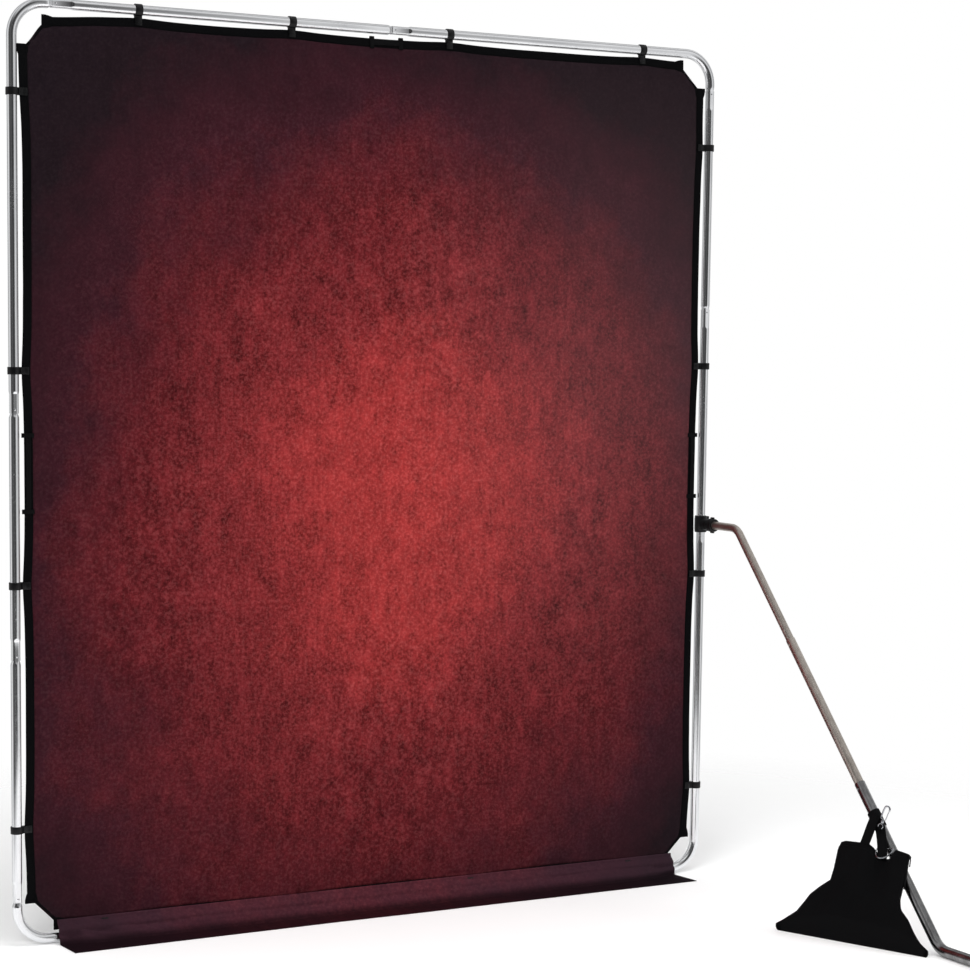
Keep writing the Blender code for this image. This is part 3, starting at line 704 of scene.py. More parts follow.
def build_clips():
    for node in sorted(node_body):
        if not node.startswith("clip_"):
            continue
        spot = middle(node)
        edge = node.split("_")[1]
        if edge in ("left", "right"):
            build_clip(node, LEFT if edge == "left" else RIGHT, spot.z, 0 if edge == "left" else 2)
        else:
            build_clip(node, spot.x, TOP if edge == "top" else BASE, 1 if edge == "top" else 3)


# ------------------------------------------------------------------ cloth
def clip_places(edge):
    nodes = [n for n in node_body if n.startswith(f"clip_{edge}_")]
    axis = 2 if edge in ("left", "right") else 0
    return [middle(n)[axis] for n in nodes]


CLIPS = {edge: clip_places(edge) for edge in ("left", "right", "top", "bottom")}
# which corner (right, top), and how far the loose cloth there is dragged in x and z
CORNER_DRAG = ((0, 1, -0.008, -0.008), (1, 1, 0.003, 0.000), (0, 0, 0.001, 0.000),
               (1, 0, -0.003, -0.006))
SEED = {"left": 1.3, "right": 5.1, "top": 9.7, "bottom": 14.2}


def pull(edge, along):
    """How far the cloth's edge is pulled towards the tube here: out at a clip, in between."""
    near = min(abs(along - place) for place in CLIPS[edge])
    out = math.exp(-(near / 0.055) ** 2)
    between = ease(near / 0.22)
    loose = 0.0009 * wobble(along * 5.0, SEED[edge])
    return SCALLOP_OUT * out + SCALLOP_IN * between * (1 - out) + loose


def edge_shift(x, z):
    """The move of a cloth point near the edges, which follow the clips' pull."""
    fade = 0.16
    shift = Vector((0, 0, 0))
    for right, top, move_x, move_z in CORNER_DRAG:
        corner = Vector((CLOTH_HIGH.x if right else CLOTH_LOW.x, 0,
                         CLOTH_HIGH.z if top else CLOTH_LOW.z))
        near = 1 - ease(((Vector((x, 0, z)) - corner).length - 0.05) / 0.15)
        shift += Vector((move_x, 0, move_z)) * near
        if top and not right:
            shift.x -= 0.010 * ease((x - CLOTH_LOW.x) / CORNER_CUT) * near
    for edge, distance, along in (
            ("left", x - CLOTH_LOW.x, z), ("right", CLOTH_HIGH.x - x, z),
            ("bottom", z - CLOTH_LOW.z, x), ("top", CLOTH_HIGH.z - z, x)):
        shift += OUTWARD[edge] * pull(edge, along) * (1 - ease(distance / fade))
    return shift


def cloth_depth(x, z):
    """How far the hung cloth stands out of its plane: soft swells, and pulls at the clips."""
    u, v = x - PANEL_X, z
    inside = min(x - CLOTH_LOW.x, CLOTH_HIGH.x - x, z - CLOTH_LOW.z, CLOTH_HIGH.z - z)
    slack = ease(inside / 0.25)
    swell = 0.0035 * wobble(u * 2.2, v * 1.1, 3.0) * slack
    folds = 0.0016 * wobble(u * 9.0, v * 1.6, 7.0) * slack
    low = ease((0.55 - v) / 0.5)
    folds += 0.0030 * low * wobble(u * 11.0 + 0.8 * v, v * 2.0, 11.0) * ease(inside / 0.03)
    pulls = 0.0
    for edge, places in CLIPS.items():
        for place in places:
            if edge in ("left", "right"):
                away = x - CLOTH_LOW.x if edge == "left" else CLOTH_HIGH.x - x
                beside = z - place
            else:
                away = z - CLOTH_LOW.z if edge == "bottom" else CLOTH_HIGH.z - z
                beside = x - place
            if away < 0.35 and abs(beside) < 0.3:
                angle = math.atan2(beside, away + 0.02)
                fade = math.exp(-away / 0.09) * ease(away / 0.015)
                pulls += 0.0012 * math.cos(angle * 9.0) * fade
    return swell + folds + pulls


def cut_corner(x, z):
    """Bring a point that is past a cut corner back to the cut."""
    u = min(x - CLOTH_LOW.x, CLOTH_HIGH.x - x)
    v = min(z - CLOTH_LOW.z, CLOTH_HIGH.z - z)
    short = CORNER_CUT - (u + v)
    if short <= 0:
        return x, z
    move = short / 2
    x += move if x < PANEL_X else -move
    z += move if z < (CLOTH_LOW.z + CLOTH_HIGH.z) / 2 else -move
    return x, z


def spread_values(low, high, step, fine, band):
    """Values from low to high, closer together within a band at both ends."""
    values = [low]
    while values[-1] < high - 1e-6:
        near = min(values[-1] - low, high - values[-1])
        values.append(min(high, values[-1] + (fine if near < band else step)))
    return values


def thick_sheet(name, bm, printed, facing, thickness, rim):
    """A sheet with the print on the side that it faces, and plain cloth behind."""
    for face in bm.faces:
        face.normal_update()
        if face.normal.dot(facing) < 0:
            face.normal_flip()
    data = bpy.data.meshes.new(name)
    bm.to_mesh(data)
    bm.free()
    data.shade_smooth()
    data.materials.append(printed)
    data.materials.append(BACKING)
    made = bpy.data.objects.new(name, data)
    bpy.context.scene.collection.objects.link(made)
    solid = made.modifiers.new("thickness", "SOLIDIFY")
    solid.thickness = thickness
    solid.offset = -1
    solid.material_offset = 1
    solid.material_offset_rim = rim
    bake_modifiers(made)
    return made


def build_cloth_panel():
    xs = spread_values(CLOTH_LOW.x, CLOTH_HIGH.x, 0.014, 0.007, 0.12)
    zs = spread_values(CLOTH_LOW.z, CLOTH_HIGH.z, 0.014, 0.007, 0.12)
    bm = bmesh.new()
    rows = []
    for z in zs:
        row = []
        for x in xs:
            cx, cz = cut_corner(x, z)
            spot = Vector((cx, PANEL_Y - cloth_depth(cx, cz), cz)) + edge_shift(cx, cz)
            row.append(bm.verts.new(spot))
        rows.append(row)
    grid_faces(bm, rows)
    bmesh.ops.dissolve_degenerate(bm, dist=0.0002, edges=bm.edges)
    return thick_sheet("shown_cloth_panel", bm, PRINT, FRONT, CLOTH_THICK, 1)


def edge_run(node, edge):
    """Where a piece on an edge starts and ends, the way along it, and the way out."""
    low, high = (Vector(corner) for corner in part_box(node))
    out = OUTWARD[edge]
    if edge in ("left", "right"):
        return low.z, high.z, UP, out
    return low.x, high.x, OUTWARD["right"], out


def build_sleeve(edge):
    """A flat pocket of black cloth sewn along one edge, pulled out at each clip."""
    node = f"sleeve_{edge}"
    start, end, along, out = edge_run(node, edge)
    spot = middle(node)
    inner = spot - out * SLEEVE_WIDTH / 2
    count = int((end - start) / SLEEVE_STEP)
    bm = bmesh.new()
    rings = []
    points = 14
    for k in range(count + 1):
        t = start + (end - start) * k / count
        near_end = min(k, count - k) * (end - start) / count
        puff = 0.00155 + 0.0004 * wobble(t * 14, SEED[edge] + 3)
        puff *= 0.55 + 0.45 * ease(near_end / 0.03)
        flare = 0.0075 * (1 - ease((near_end - 0.012) / 0.014))
        base = inner - along * inner.dot(along) + along * t
        base += edge_shift(base.x, base.z)
        ring = []
        for j in range(points):
            turn = 2 * math.pi * j / points
            side = (1 - math.cos(turn)) / 2
            across = SLEEVE_WIDTH * side + flare * (1.4 * side - 0.7) - 0.0015
            thick = puff * math.copysign(abs(math.sin(turn)) ** 0.6, math.sin(turn))
            wave = 0.0005 * wobble(t * 22, across * 60, SEED[edge])
            ring.append(bm.verts.new(base + out * across + FRONT * (thick + wave)))
        rings.append(ring)
    loft(bm, rings, True)
    # two rows of stitching along the inner edge
    for offset in (0.0012, 0.0042):
        for k in range(int((end - start) / STITCH_PITCH)):
            t = start + 0.004 + STITCH_PITCH * k
            if t > end - 0.005:
                break
            base = inner - along * inner.dot(along) + along * t
            at = base + edge_shift(base.x, base.z) + out * offset + FRONT * 0.0013
            wire(bm, [at, at + along * 0.0028], 0.00028, sides=4)
    return new_piece("shown_" + node, bm, SLEEVE, None, (), 50)


def build_corner_hems():
    """The black binding on each cut corner of the cloth."""
    pieces = {"upper": bmesh.new(), "lower": bmesh.new()}
    for right in (0, 1):
        for top in (0, 1):
            x0 = CLOTH_HIGH.x if right else CLOTH_LOW.x
            z0 = CLOTH_HIGH.z if top else CLOTH_LOW.z
            sx, sz = (-1 if right else 1), (-1 if top else 1)
            a = Vector((x0, PANEL_Y, z0 + sz * CORNER_CUT))
            b = Vector((x0 + sx * CORNER_CUT, PANEL_Y, z0))
            inward = Vector((sx, 0, sz)).normalized()
            target = pieces["upper" if top else "lower"]
            rings = []
            for k in range(13):
                t = k / 12
                spot = a.lerp(b, t)
                spot += edge_shift(spot.x, spot.z)
                ring = []
                for j in range(10):
                    turn = 2 * math.pi * j / 10
                    across = 0.0045 * (1 - math.cos(turn)) - 0.0012
                    thick = 0.0013 * math.sin(turn) + 0.0003 * wobble(t * 5, j * 0.7, right)
                    ring.append(target.verts.new(spot + inward * across + FRONT * thick))
                rings.append(ring)
            loft(target, rings, True)
    upper = new_piece("corner_binding_upper", pieces["upper"], SLEEVE, None)
    lower = new_piece("corner_binding_lower", pieces["lower"], SLEEVE, None)
    return upper, lower


def build_pull_strap(edge):
    """A short webbing handle on the sleeve, with a band round the sleeve at each end."""
    node = f"pull_strap_{edge}"
    start, end, along, out = edge_run(node, edge)
    spot = middle("sleeve_" + edge)
    bm = bmesh.new()
    count = 26
    rings = []
    for k in range(count + 1):
        t = k / count
        place = start + (end - start) * t
        bow = 0.0016 * math.sin(math.pi * t)
        base = spot - along * spot.dot(along) + along * place + out * pull(edge, place)
        base += FRONT * (SLEEVE_THICK / 2 + 0.0006 + bow)
        ring = []
        for a, b in ((-1, -1), (1, -1), (1, 1), (-1, 1)):
            ring.append(bm.verts.new(base + out * 0.006 * a + FRONT * 0.0007 * b))
        rings.append(ring)
    loft(bm, rings, True)
    for place in (start, end):
        base = spot - along * spot.dot(along) + along * place + out * pull(edge, place)
        rings = []
        for j in range(24):
            turn = 2 * math.pi * j / 24
            c, s = math.cos(turn), math.sin(turn)
            c = math.copysign(abs(c) ** 0.7, c)
            s = math.copysign(abs(s) ** 0.5, s)
            outer = base + out * (SLEEVE_WIDTH / 2 + 0.0044) * c + FRONT * 0.0043 * s
            inner = base + out * (SLEEVE_WIDTH / 2 + 0.0030) * c + FRONT * 0.0029 * s
            rings.append([bm.verts.new(p) for p in (
                outer - along * BAND_HALF, outer + along * BAND_HALF,
                inner + along * BAND_HALF, inner - along * BAND_HALF)])
        rings.append(rings[0])
        loft(bm, rings)
    return new_piece("shown_" + node, bm, WEBBING, None, (), 40)


def build_flap():
    """The cloth below the seam, which falls forward to the floor in a few soft folds."""
    low, high = (Vector(c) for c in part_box("floor_flap"))
    seam_z = high.z - 0.003
    seam_y = PANEL_Y - 0.0028
    front_y = low.y
    xs = spread_values(low.x, high.x, 0.012, 0.006, 0.2)
    bm = bmesh.new()
    rows = []
    steps = 30
    for i in range(steps + 1):
        v = i / steps
        row = []
        for x in xs:
            u = x - PANEL_X
            side = (x - low.x) / (high.x - low.x)
            reach = 1.0 - 0.03 * math.sin(math.pi * side) + 0.018 * wobble(u * 3.1, 20.0)
            reach -= 0.02 * ease((side - 0.2) / 0.2) * ease((0.55 - side) / 0.2)
            full = (front_y + 0.001 - seam_y) * reach
            ends = ease(min(side, 1 - side) / 0.05)
            bend = FLAP_BEND * (0.55 + 0.45 * ends) + 0.06 * wobble(u * 2.3, 27.0)
            fall = min(v / FLAP_FALL, 1.0)
            lie = max(v - FLAP_FALL, 0.0) / (1 - FLAP_FALL)
            y = seam_y + full * (bend * fall ** 1.25 + (1 - bend) * lie)
            z = seam_z * (1 - fall ** 0.92) * (1 - 0.12 * fall)
            free = math.sin(math.pi * fall) ** 0.8
            crease = 0.0072 * wobble(u * 2.6 + fall * 0.5, fall * 2.6, 31.0)
            crease += 0.0042 * wobble(u * 9.0 - fall * 1.4, fall * 3.4, 37.0)
            fan = math.atan2(fall + 0.12, (side + 0.002) * 9.0)
            near = math.exp(-side / 0.16)
            crease += 0.0065 * near * math.sin(fan * 13.0)
            fan = math.atan2(fall + 0.15, (1.002 - side) * 9.0)
            crease += 0.0035 * math.exp(-(1 - side) / 0.12) * math.sin(fan * 9.0)
            y -= crease * free
            z += 0.5 * crease * free
            z += 0.0016 * lie * (1 + wobble(u * 7.0, lie * 1.5, 50.0))
            # the bottom tube and its clips stand behind the cloth, which stays clear of them
            y = min(y, PANEL_Y - TUBE_CLEAR * ease((0.056 - z) / 0.020))
            x_out = (0.010 + 0.005 * side) * lie
            row.append(bm.verts.new((x + x_out, y, max(z, 0.0018))))
        rows.append(row)
    grid_faces(bm, rows)
    return thick_sheet("shown_floor_flap", bm, FLAP_PRINT, FRONT + UP, FLAP_THICK, 0)


def stretch_with_frame(made, node):
    """Bakes a cloth piece's place into its mesh, and hides the CAD node that it stands for."""
    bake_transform(made)
    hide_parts(node)


def build_cloth():
    cloth = build_cloth_panel()
    stretch_with_frame(cloth, "cloth_panel")
    trims = []
    for edge in ("left", "right"):
        sleeve = build_sleeve(edge)
        stretch_with_frame(sleeve, f"sleeve_{edge}")
        strap = build_pull_strap(edge)
        stretch_with_frame(strap, f"pull_strap_{edge}")
        trims += [sleeve, strap]
    for made, node in ((build_sleeve("top"), "sleeve_top"), (build_sleeve("bottom"), "sleeve_bottom"),
                       (build_pull_strap("top"), "pull_strap_top")):
        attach(made, node_body[node])
        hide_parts(node)
        trims.append(made)
    upper, lower = build_corner_hems()
    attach(upper, "upper_frame")
    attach(lower, "panel")
    trims += [upper, lower]
    flap = build_flap()
    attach(flap, "panel")
    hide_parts("floor_flap")


# ------------------------------------------------------------------ leg
def slope_point(distance):
    return KNEE - SLOPE_UP * distance


def leg_tube(node, points, radius, bend, material, seam=None):
    path = bent_path(points, bend) if bend else [
        (points[0], (points[1] - points[0]).normalized()),
        (points[1], (points[1] - points[0]).normalized())]
    start, first = path[0]
    stations = [(start, first, radius - LEG_LIP, radius - LEG_LIP),
                (start + first * 0.0007, first, radius, radius)]
    stations += [(spot, along, radius, radius) for spot, along in path[1:-1]]
    end, last = path[-1]
    stations += [(end - last * 0.0007, last, radius, radius),
                 (end, last, radius - LEG_LIP, radius - LEG_LIP)]
    bm = bmesh.new()
    tube(bm, stations, LEG_SIDE, sides=48)
    if seam is not None:
        # spring button near the mouth, on the side that faces out of the leg's plane
        for side in (-LEG_SIDE, LEG_SIDE):
            lathe(bm, [(0.0031, 0.0), (0.0031, 0.0018), (0.0022, 0.0028), (0.001, 0.0032)],
                  seam + side * (radius - 0.001), side, 18)
    return new_piece("shown_" + node, bm, material, node_body[node], (node,), 50)


def build_leg():
    stub = CLAMP + LEG_DIR * 0.028
    leg_tube("leg_tube_upper", [stub, KNEE, slope_point(FIRST_SEAM + OVERLAP)],
             LEG_R["leg_tube_upper"], KNEE_BEND, LEG_METAL)
    leg_tube("leg_tube_middle", [slope_point(FIRST_SEAM), slope_point(SECOND_SEAM + OVERLAP)],
             LEG_R["leg_tube_middle"], 0, LEG_METAL, slope_point(FIRST_SEAM + 0.016))
    toe = HEEL + LEG_DIR * FOOT_LENGTH
    leg_tube("leg_tube_lower", [slope_point(SECOND_SEAM), HEEL, toe],
             LEG_R["leg_tube_lower"], HEEL_BEND, LEG_DARK, slope_point(SECOND_SEAM + 0.016))
    radius = LEG_R["leg_tube_lower"]
    inside = radius - WALL - GAP
    bm = bmesh.new()
    lathe(bm, [(inside, -0.018), (inside, GAP), (radius, GAP), (radius, 0.0022),
               (radius - 0.0008, 0.0033), (radius - 0.0022, 0.004), (radius * 0.5, 0.0037),
               (0.0005, 0.0036)], toe, LEG_DIR, 40)
    new_piece("shown_foot_plug", bm, RED, "leg_lower", ("foot_plug",), 30)


# ------------------------------------------------------------------ clamp
def clamp_axes():
    """The leg's own axes at the clamp: along the leg, to its outer side, and up."""
    outer = UP.cross(LEG_DIR)
    turn = Matrix((LEG_DIR, outer, UP)).transposed().to_4x4()
    return Matrix.Translation(CLAMP) @ turn


def half_ring(bm, inner, outer, half_height, sign, cut=0.0004, sides=28):
    """Half of a ring round the upright, on one side of the plane between the jaws."""
    profile = [(inner, -half_height), (outer - 0.0012, -half_height), (outer, -half_height + 0.0012),
               (outer, -half_height + 0.006), (outer + 0.0007, -half_height + 0.0072),
               (outer + 0.0007, half_height - 0.0072), (outer, half_height - 0.006),
               (outer, half_height - 0.0012), (outer - 0.0012, half_height),
               (inner, half_height)]
    rings = []
    for k in range(sides + 1):
        turn = -math.pi / 2 + math.pi * k / sides
        ring = []
        for radius, height in profile:
            x = max(radius * math.cos(turn), cut) * sign
            ring.append(bm.verts.new((x, radius * math.sin(turn), height)))
        rings.append(ring)
    loft(bm, rings, True)


def build_clamp():
    axes = clamp_axes()
    half = size("clamp_rear_jaw").z / 2
    inner, outer = 0.0133, 0.0168
    out = Vector((1, 0, 0))
    for node, sign in (("clamp_front_jaw", 1), ("clamp_rear_jaw", -1)):
        bm = bmesh.new()
        half_ring(bm, inner, outer, half, sign)
        ends = sorted((sign * 0.0004, sign * 0.0050))
        block(bm, (ends[0], 0.0150, -0.021), (ends[1], 0.0262, 0.021), rounding=0.0014, steps=3)
        for spot in (-0.012, 0.012):
            lathe(bm, [(0.0052, 0.0), (0.0052, 0.0042), (0.0045, 0.0052), (0.0036, 0.0052)],
                  Vector((0, 0.0214, spot)), out * sign, 24)
        for spot in (-0.016, -0.008, 0.0, 0.008, 0.016):
            # stiffening webs on the back of the rear jaw
            if sign < 0:
                block(bm, (-0.0172, -0.009, spot - 0.0009), (-0.0150, 0.009, spot + 0.0009),
                      rounding=0.0005, steps=1)
        if sign > 0:
            lathe(bm, [(0.0113, 0.0142), (0.0162, 0.0142), (0.0158, 0.020), (0.0154, 0.024),
                       (0.0154, 0.0500), (0.0148, 0.0520), (0.0113, 0.0520), (0.0113, 0.0300)],
                  Vector((0, 0, 0)), out, 44, True)
            for k in range(4):
                turn = Matrix.Rotation(math.pi / 4 + k * math.pi / 2, 4, "X")
                block(bm, (0.0145, -0.0012, 0.0148), (0.040, 0.0012, 0.0166), turn, 0.0005, 1)
        placed_piece(axes, "shown_" + node, bm, BLACK, "leg_clamp", (node,), 35)
    for node, height in (("clamp_screw_upper", 0.012), ("clamp_screw_lower", -0.012)):
        bm = bmesh.new()
        lathe(bm, [(0.0019, -0.0082), (0.0019, 0.0052), (0.0034, 0.0053), (0.0034, 0.0072),
                   (0.0029, 0.0082), (0.0016, 0.0082), (0.0014, 0.0066), (0.0003, 0.0064)],
              Vector((0, 0.0214, height)), out, 24)
        placed_piece(axes, "shown_" + node, bm, CHROME, "leg_clamp", (node,), 30)

    bm = bmesh.new()
    lathe(bm, [(0.0113, 0.0660), (0.0155, 0.0660), (0.0172, 0.0652), (0.0180, 0.0640),
               (0.0180, 0.0620), (0.0174, 0.0612), (0.0174, 0.0480), (0.0180, 0.0472),
               (0.0180, 0.0450), (0.0174, 0.0440), (0.0158, 0.0440), (0.0158, 0.0523),
               (0.0113, 0.0523)], Vector((0, 0, 0)), out, 48, True)
    for k in range(28):
        turn = Matrix.Rotation(2 * math.pi * k / 28, 4, "X")
        block(bm, (0.0488, -0.0007, 0.0170), (0.0606, 0.0007, 0.0181), turn, 0.0003, 1)
    for sign in (1, -1):
        ends = sorted((sign * 0.0168, sign * 0.0222))
        block(bm, (0.0490, -0.0031, ends[0]), (0.0625, 0.0031, ends[1]), rounding=0.0016, steps=3)
    placed_piece(axes, "shown_leg_lock_collar", bm, BLACK, "lock_collar", ("leg_lock_collar",), 35)


# ------------------------------------------------------------------ bag
# height, left, right, front, middle depth, edge depth, all in the bag's own frame
BAG_LEVELS = (
    (0.000, -0.210, 0.207, -0.017, 0.082, 0.012),
    (0.006, -0.216, 0.213, -0.023, 0.091, 0.018),
    (0.016, -0.216, 0.212, -0.023, 0.095, 0.021),
    (0.030, -0.194, 0.192, -0.014, 0.094, 0.023),
    (0.055, -0.162, 0.166, -0.003, 0.088, 0.025),
    (0.080, -0.146, 0.145, 0.008, 0.080, 0.025),
    (0.100, -0.135, 0.119, 0.018, 0.071, 0.025),
    (0.122, -0.113, 0.112, 0.028, 0.062, 0.024),
    (0.143, -0.088, 0.113, 0.037, 0.053, 0.023),
    (0.175, -0.083, 0.115, 0.046, 0.042, 0.020),
    (0.205, -0.081, 0.116, 0.055, 0.033, 0.016),
    (0.228, -0.080, 0.1165, 0.063, 0.024, 0.012),
    (0.238, -0.078, 0.1165, 0.069, 0.013, 0.007),
)
BAG_TOP = (
    (-1.0, 0.226), (-0.95, 0.2365), (-0.84, 0.2410), (-0.40, 0.2425), (-0.16, 0.2410),
    (-0.04, 0.2330), (0.06, 0.222), (0.16, 0.2130), (0.30, 0.2085), (0.44, 0.2120),
    (0.54, 0.226), (0.62, 0.2380), (0.80, 0.2350), (1.0, 0.2320),
)


def read_table(table, value, column=1):
    """Read a column of a table at a value of its first column, with smooth steps."""
    if value <= table[0][0]:
        return table[0][column]
    for before, after in zip(table, table[1:]):
        if value <= after[0]:
            t = (value - before[0]) / (after[0] - before[0])
            return before[column] + (after[column] - before[column]) * t
    return table[-1][column]


def bag_point(u, v, back):
    """A point of the bag: u from its left seam to its right, v from its base to its top."""
    top = read_table(BAG_TOP, u)
    full = BAG_LEVELS[-1][0]
    level = v * full
    left, right, front, depth, edge = (read_table(BAG_LEVELS, level, c) for c in range(1, 6))
    x = (left + right) / 2 + (right - left) / 2 * u
    height = level * (1 - ease((v - 0.35) / 0.65)) + v * top * ease((v - 0.35) / 0.65)
    swell = max(0.0, 1 - abs(u) ** 2.4)
    low = ease((0.14 - height) / 0.12)
    if back:
        y = front + edge * 0.6 + (depth - edge * 0.6) * swell
        y += 0.005 * wobble(u * 4.0, v * 5.0, 61.0) * swell
    else:
        y = front + edge * 0.35 * (1 - swell) - 0.002 * low * swell
        # creases run down from the dip between the handles and out to the lower corners
        dip = math.exp(-((u - 0.25 + 0.10 * (1 - v)) / 0.13) ** 2)
        y += 0.0060 * dip * ease((v - 0.15) / 0.7)
        y -= 0.0042 * math.exp(-((u + 0.20 + 0.25 * (1 - v)) / 0.16) ** 2) * ease(v * 1.4)
        y -= 0.0036 * math.exp(-((u - 0.62) / 0.14) ** 2) * ease((v - 0.3) / 0.4)
        y += 0.0040 * wobble(u * 3.2, v * 4.0, 71.0) * swell
        y += 0.0016 * wobble(u * 9.0, v * 10.0, 75.0) * swell
        y += 0.0022 * wobble(u * 13.0, v * 1.2, 83.0) * swell * ease((v - 0.1) / 0.3)
    return Vector((x, max(y, 0.0), max(height, 0.0)))


def build_bag_body():
    across, up = 56, 44
    bm = bmesh.new()
    rings = []
    for k in range(up + 1):
        v = k / up
        ring = []
        for j in range(across + 1):
            ring.append(bm.verts.new(bag_point(-math.cos(math.pi * j / across), v, False)))
        for j in range(across - 1, 0, -1):
            ring.append(bm.verts.new(bag_point(-math.cos(math.pi * j / across), v, True)))
        rings.append(ring)
    loft(bm, rings)
    for ring in (rings[0], rings[-1]):
        # close base and top with a strip between the front and back edges
        for j in range(across):
            a, b = ring[j], ring[j + 1]
            c = ring[(2 * across - j - 1) % (2 * across)]
            d = ring[(2 * across - j) % (2 * across)]
            corners = []
            for vert in (a, b, c, d):
                if vert not in corners:
                    corners.append(vert)
            if len(corners) > 2:
                bm.faces.new(corners)
    made = placed_piece(BAG, "shown_weight_bag", bm, CORDURA, "weight_bag", ("weight_bag",), 60)
    return made


def stitch(bm, spot, ahead, lift):
    """One stitch from a spot towards the next, lifted off the cloth."""
    wire(bm, [spot + lift, spot.lerp(ahead, STITCH_SHARE) + lift], STITCH_R, sides=4)


def build_bag_seams():
    """Piping down both side seams and along the top, and a row of stitches beside it."""
    bm = bmesh.new()
    for u in (-1.0, 1.0):
        line = []
        for k in range(61):
            v = k / 60
            spot = (bag_point(u, v, False) + bag_point(u, v, True)) / 2
            # the piping is set further in on the zip's side, clear of its slider
            line.append(spot + Vector((-0.0006 if u < 0 else -0.0010, 0, 0.0008)))
        wire(bm, line, PIPING_R, sides=10)
    top = []
    for k in range(81):
        u = -1 + 2 * k / 80
        spot = (bag_point(u, 1.0, False) + bag_point(u, 1.0, True)) / 2
        top.append(spot + Vector((0, 0, 0.0004)))
    wire(bm, top, PIPING_R, sides=10)
    made = placed_piece(BAG, "bag_piping", bm, CORDURA, "weight_bag", (), 60)

    bm = bmesh.new()
    lift = Vector((0, -0.0006, 0))
    for side in (-0.955, 0.955):
        for k in range(4, 84):
            v = k / 86
            stitch(bm, bag_point(side, v, False), bag_point(side, v + 0.007, False), lift)
    for k in range(4, 110):
        u = -1 + 2 * k / 114
        stitch(bm, bag_point(u, 0.965, False), bag_point(u + 0.011, 0.965, False), lift)
    made = placed_piece(BAG, "bag_stitching", bm, THREAD, "weight_bag", (), 60)


def ribbon(bm, points, across_of, width, thick):
    """A strip of webbing through points, its width along across_of at each."""
    rings = []
    count = len(points)
    for k, spot in enumerate(points):
        ahead = points[min(k + 1, count - 1)] - points[max(k - 1, 0)]
        along = ahead.normalized()
        across = across_of(k / (count - 1))
        across = (across - along * across.dot(along)).normalized()
        face = along.cross(across)
        ring = []
        for j in range(10):
            t = -1 + 2 * j / 9
            ring.append(bm.verts.new(spot + across * t * width / 2
                                     + face * thick / 2 * (1 - 0.35 * abs(t) ** 6)))
        for j in range(9, -1, -1):
            t = -1 + 2 * j / 9
            ring.append(bm.verts.new(spot + across * t * width / 2
                                     - face * thick / 2 * (1 - 0.35 * abs(t) ** 6)))
        rings.append(ring)
    loft(bm, rings, True)


def build_straps():
    inverse = BAG.inverted()
    wrap = inverse @ WRAP
    slope = (inverse.to_3x3() @ SLOPE_UP).normalized()
    across = Vector((1, 0, 0))
    leg_r = LEG_R["leg_tube_lower"]
    front = (Vector((0, -1, 0)) - slope * Vector((0, -1, 0)).dot(slope)).normalized()

    runs = (
        ("bag_strap_left", ((-0.0065, 0.0670, 0.2260), (-0.0080, 0.0735, 0.2420),
                            (-0.0065, 0.0870, 0.2630), (-0.0045, 0.1005, 0.2860),
                            (-0.0020, 0.1150, 0.3090))),
        ("bag_strap_right", ((0.0450, 0.0640, 0.2135), (0.0445, 0.0690, 0.2200),
                             (0.0360, 0.0830, 0.2420), (0.0250, 0.0980, 0.2640),
                             (0.0120, 0.1130, 0.2860), (0.0020, 0.1180, 0.2990))),
    )
    for node, points in runs:
        path = smooth_curve([Vector(point) for point in points])
        bm = bmesh.new()
        ribbon(bm, path, lambda t: across, STRAP_WIDTH, STRAP_THICK)
        # rows of stitches beside both edges
        for shift in (-0.0098, 0.0098):
            for k in range(0, len(path) - 1):
                ahead = path[k].lerp(path[k + 1], 0.6)
                lift = Vector((across.x * shift, -0.0012, 0.0004))
                wire(bm, [path[k] + lift, ahead + lift], STITCH_R, sides=4)
        if node == "bag_strap_right":
            # the folded tab that holds the snap hook's eye
            tab = smooth_curve([
                Vector((0.0080, 0.1125, 0.2830)), Vector((0.0160, 0.1040, 0.2815)),
                Vector((0.0202, 0.0965, 0.2806)), Vector((0.0206, 0.0935, 0.2838)),
                Vector((0.0190, 0.0980, 0.2868)), Vector((0.0090, 0.1110, 0.2880)),
            ], 6)
            ribbon(bm, tab, lambda t: across, 0.0090, 0.0014)
        placed_piece(BAG, "shown_" + node, bm, WEBBING, "weight_bag", (node,), 50)

    # the wrap: two turns of webbing round the leg, one beside the other
    bm = bmesh.new()
    side = slope.cross(front).normalized()
    for start in (-0.0115, 0.0115):
        points, outs = [], []
        for k in range(49):
            turn = 2 * math.pi * k / 48
            out = front * math.cos(turn) + side * math.sin(turn)
            lift = 0.0004 * math.sin(3 * turn + start * 300)
            points.append(wrap + slope * (start + 0.0015 * math.sin(turn))
                          + out * (leg_r + 0.0016 + abs(lift)))
            outs.append(out)
        ring_list = []
        for spot, out in zip(points[:-1], outs):
            ring = []
            for a, b in ((-1, -1), (1, -1), (1, 1), (-1, 1)):
                ring.append(bm.verts.new(spot + slope * 0.0112 * a + out * 0.0009 * b))
            ring_list.append(ring)
        ring_list.append(ring_list[0])
        loft(bm, ring_list)
    placed_piece(BAG, "shown_bag_strap_wrap", bm, WEBBING, "weight_bag", ("bag_strap_wrap",), 50)


def chrome_part(node, draw, body="weight_bag"):
    """A chrome part of the bag; draw fills its mesh in the bag's frame."""
    bm = bmesh.new()
    draw(bm)
    placed_piece(BAG, "shown_" + node, bm, CHROME, body, (node,), 60)


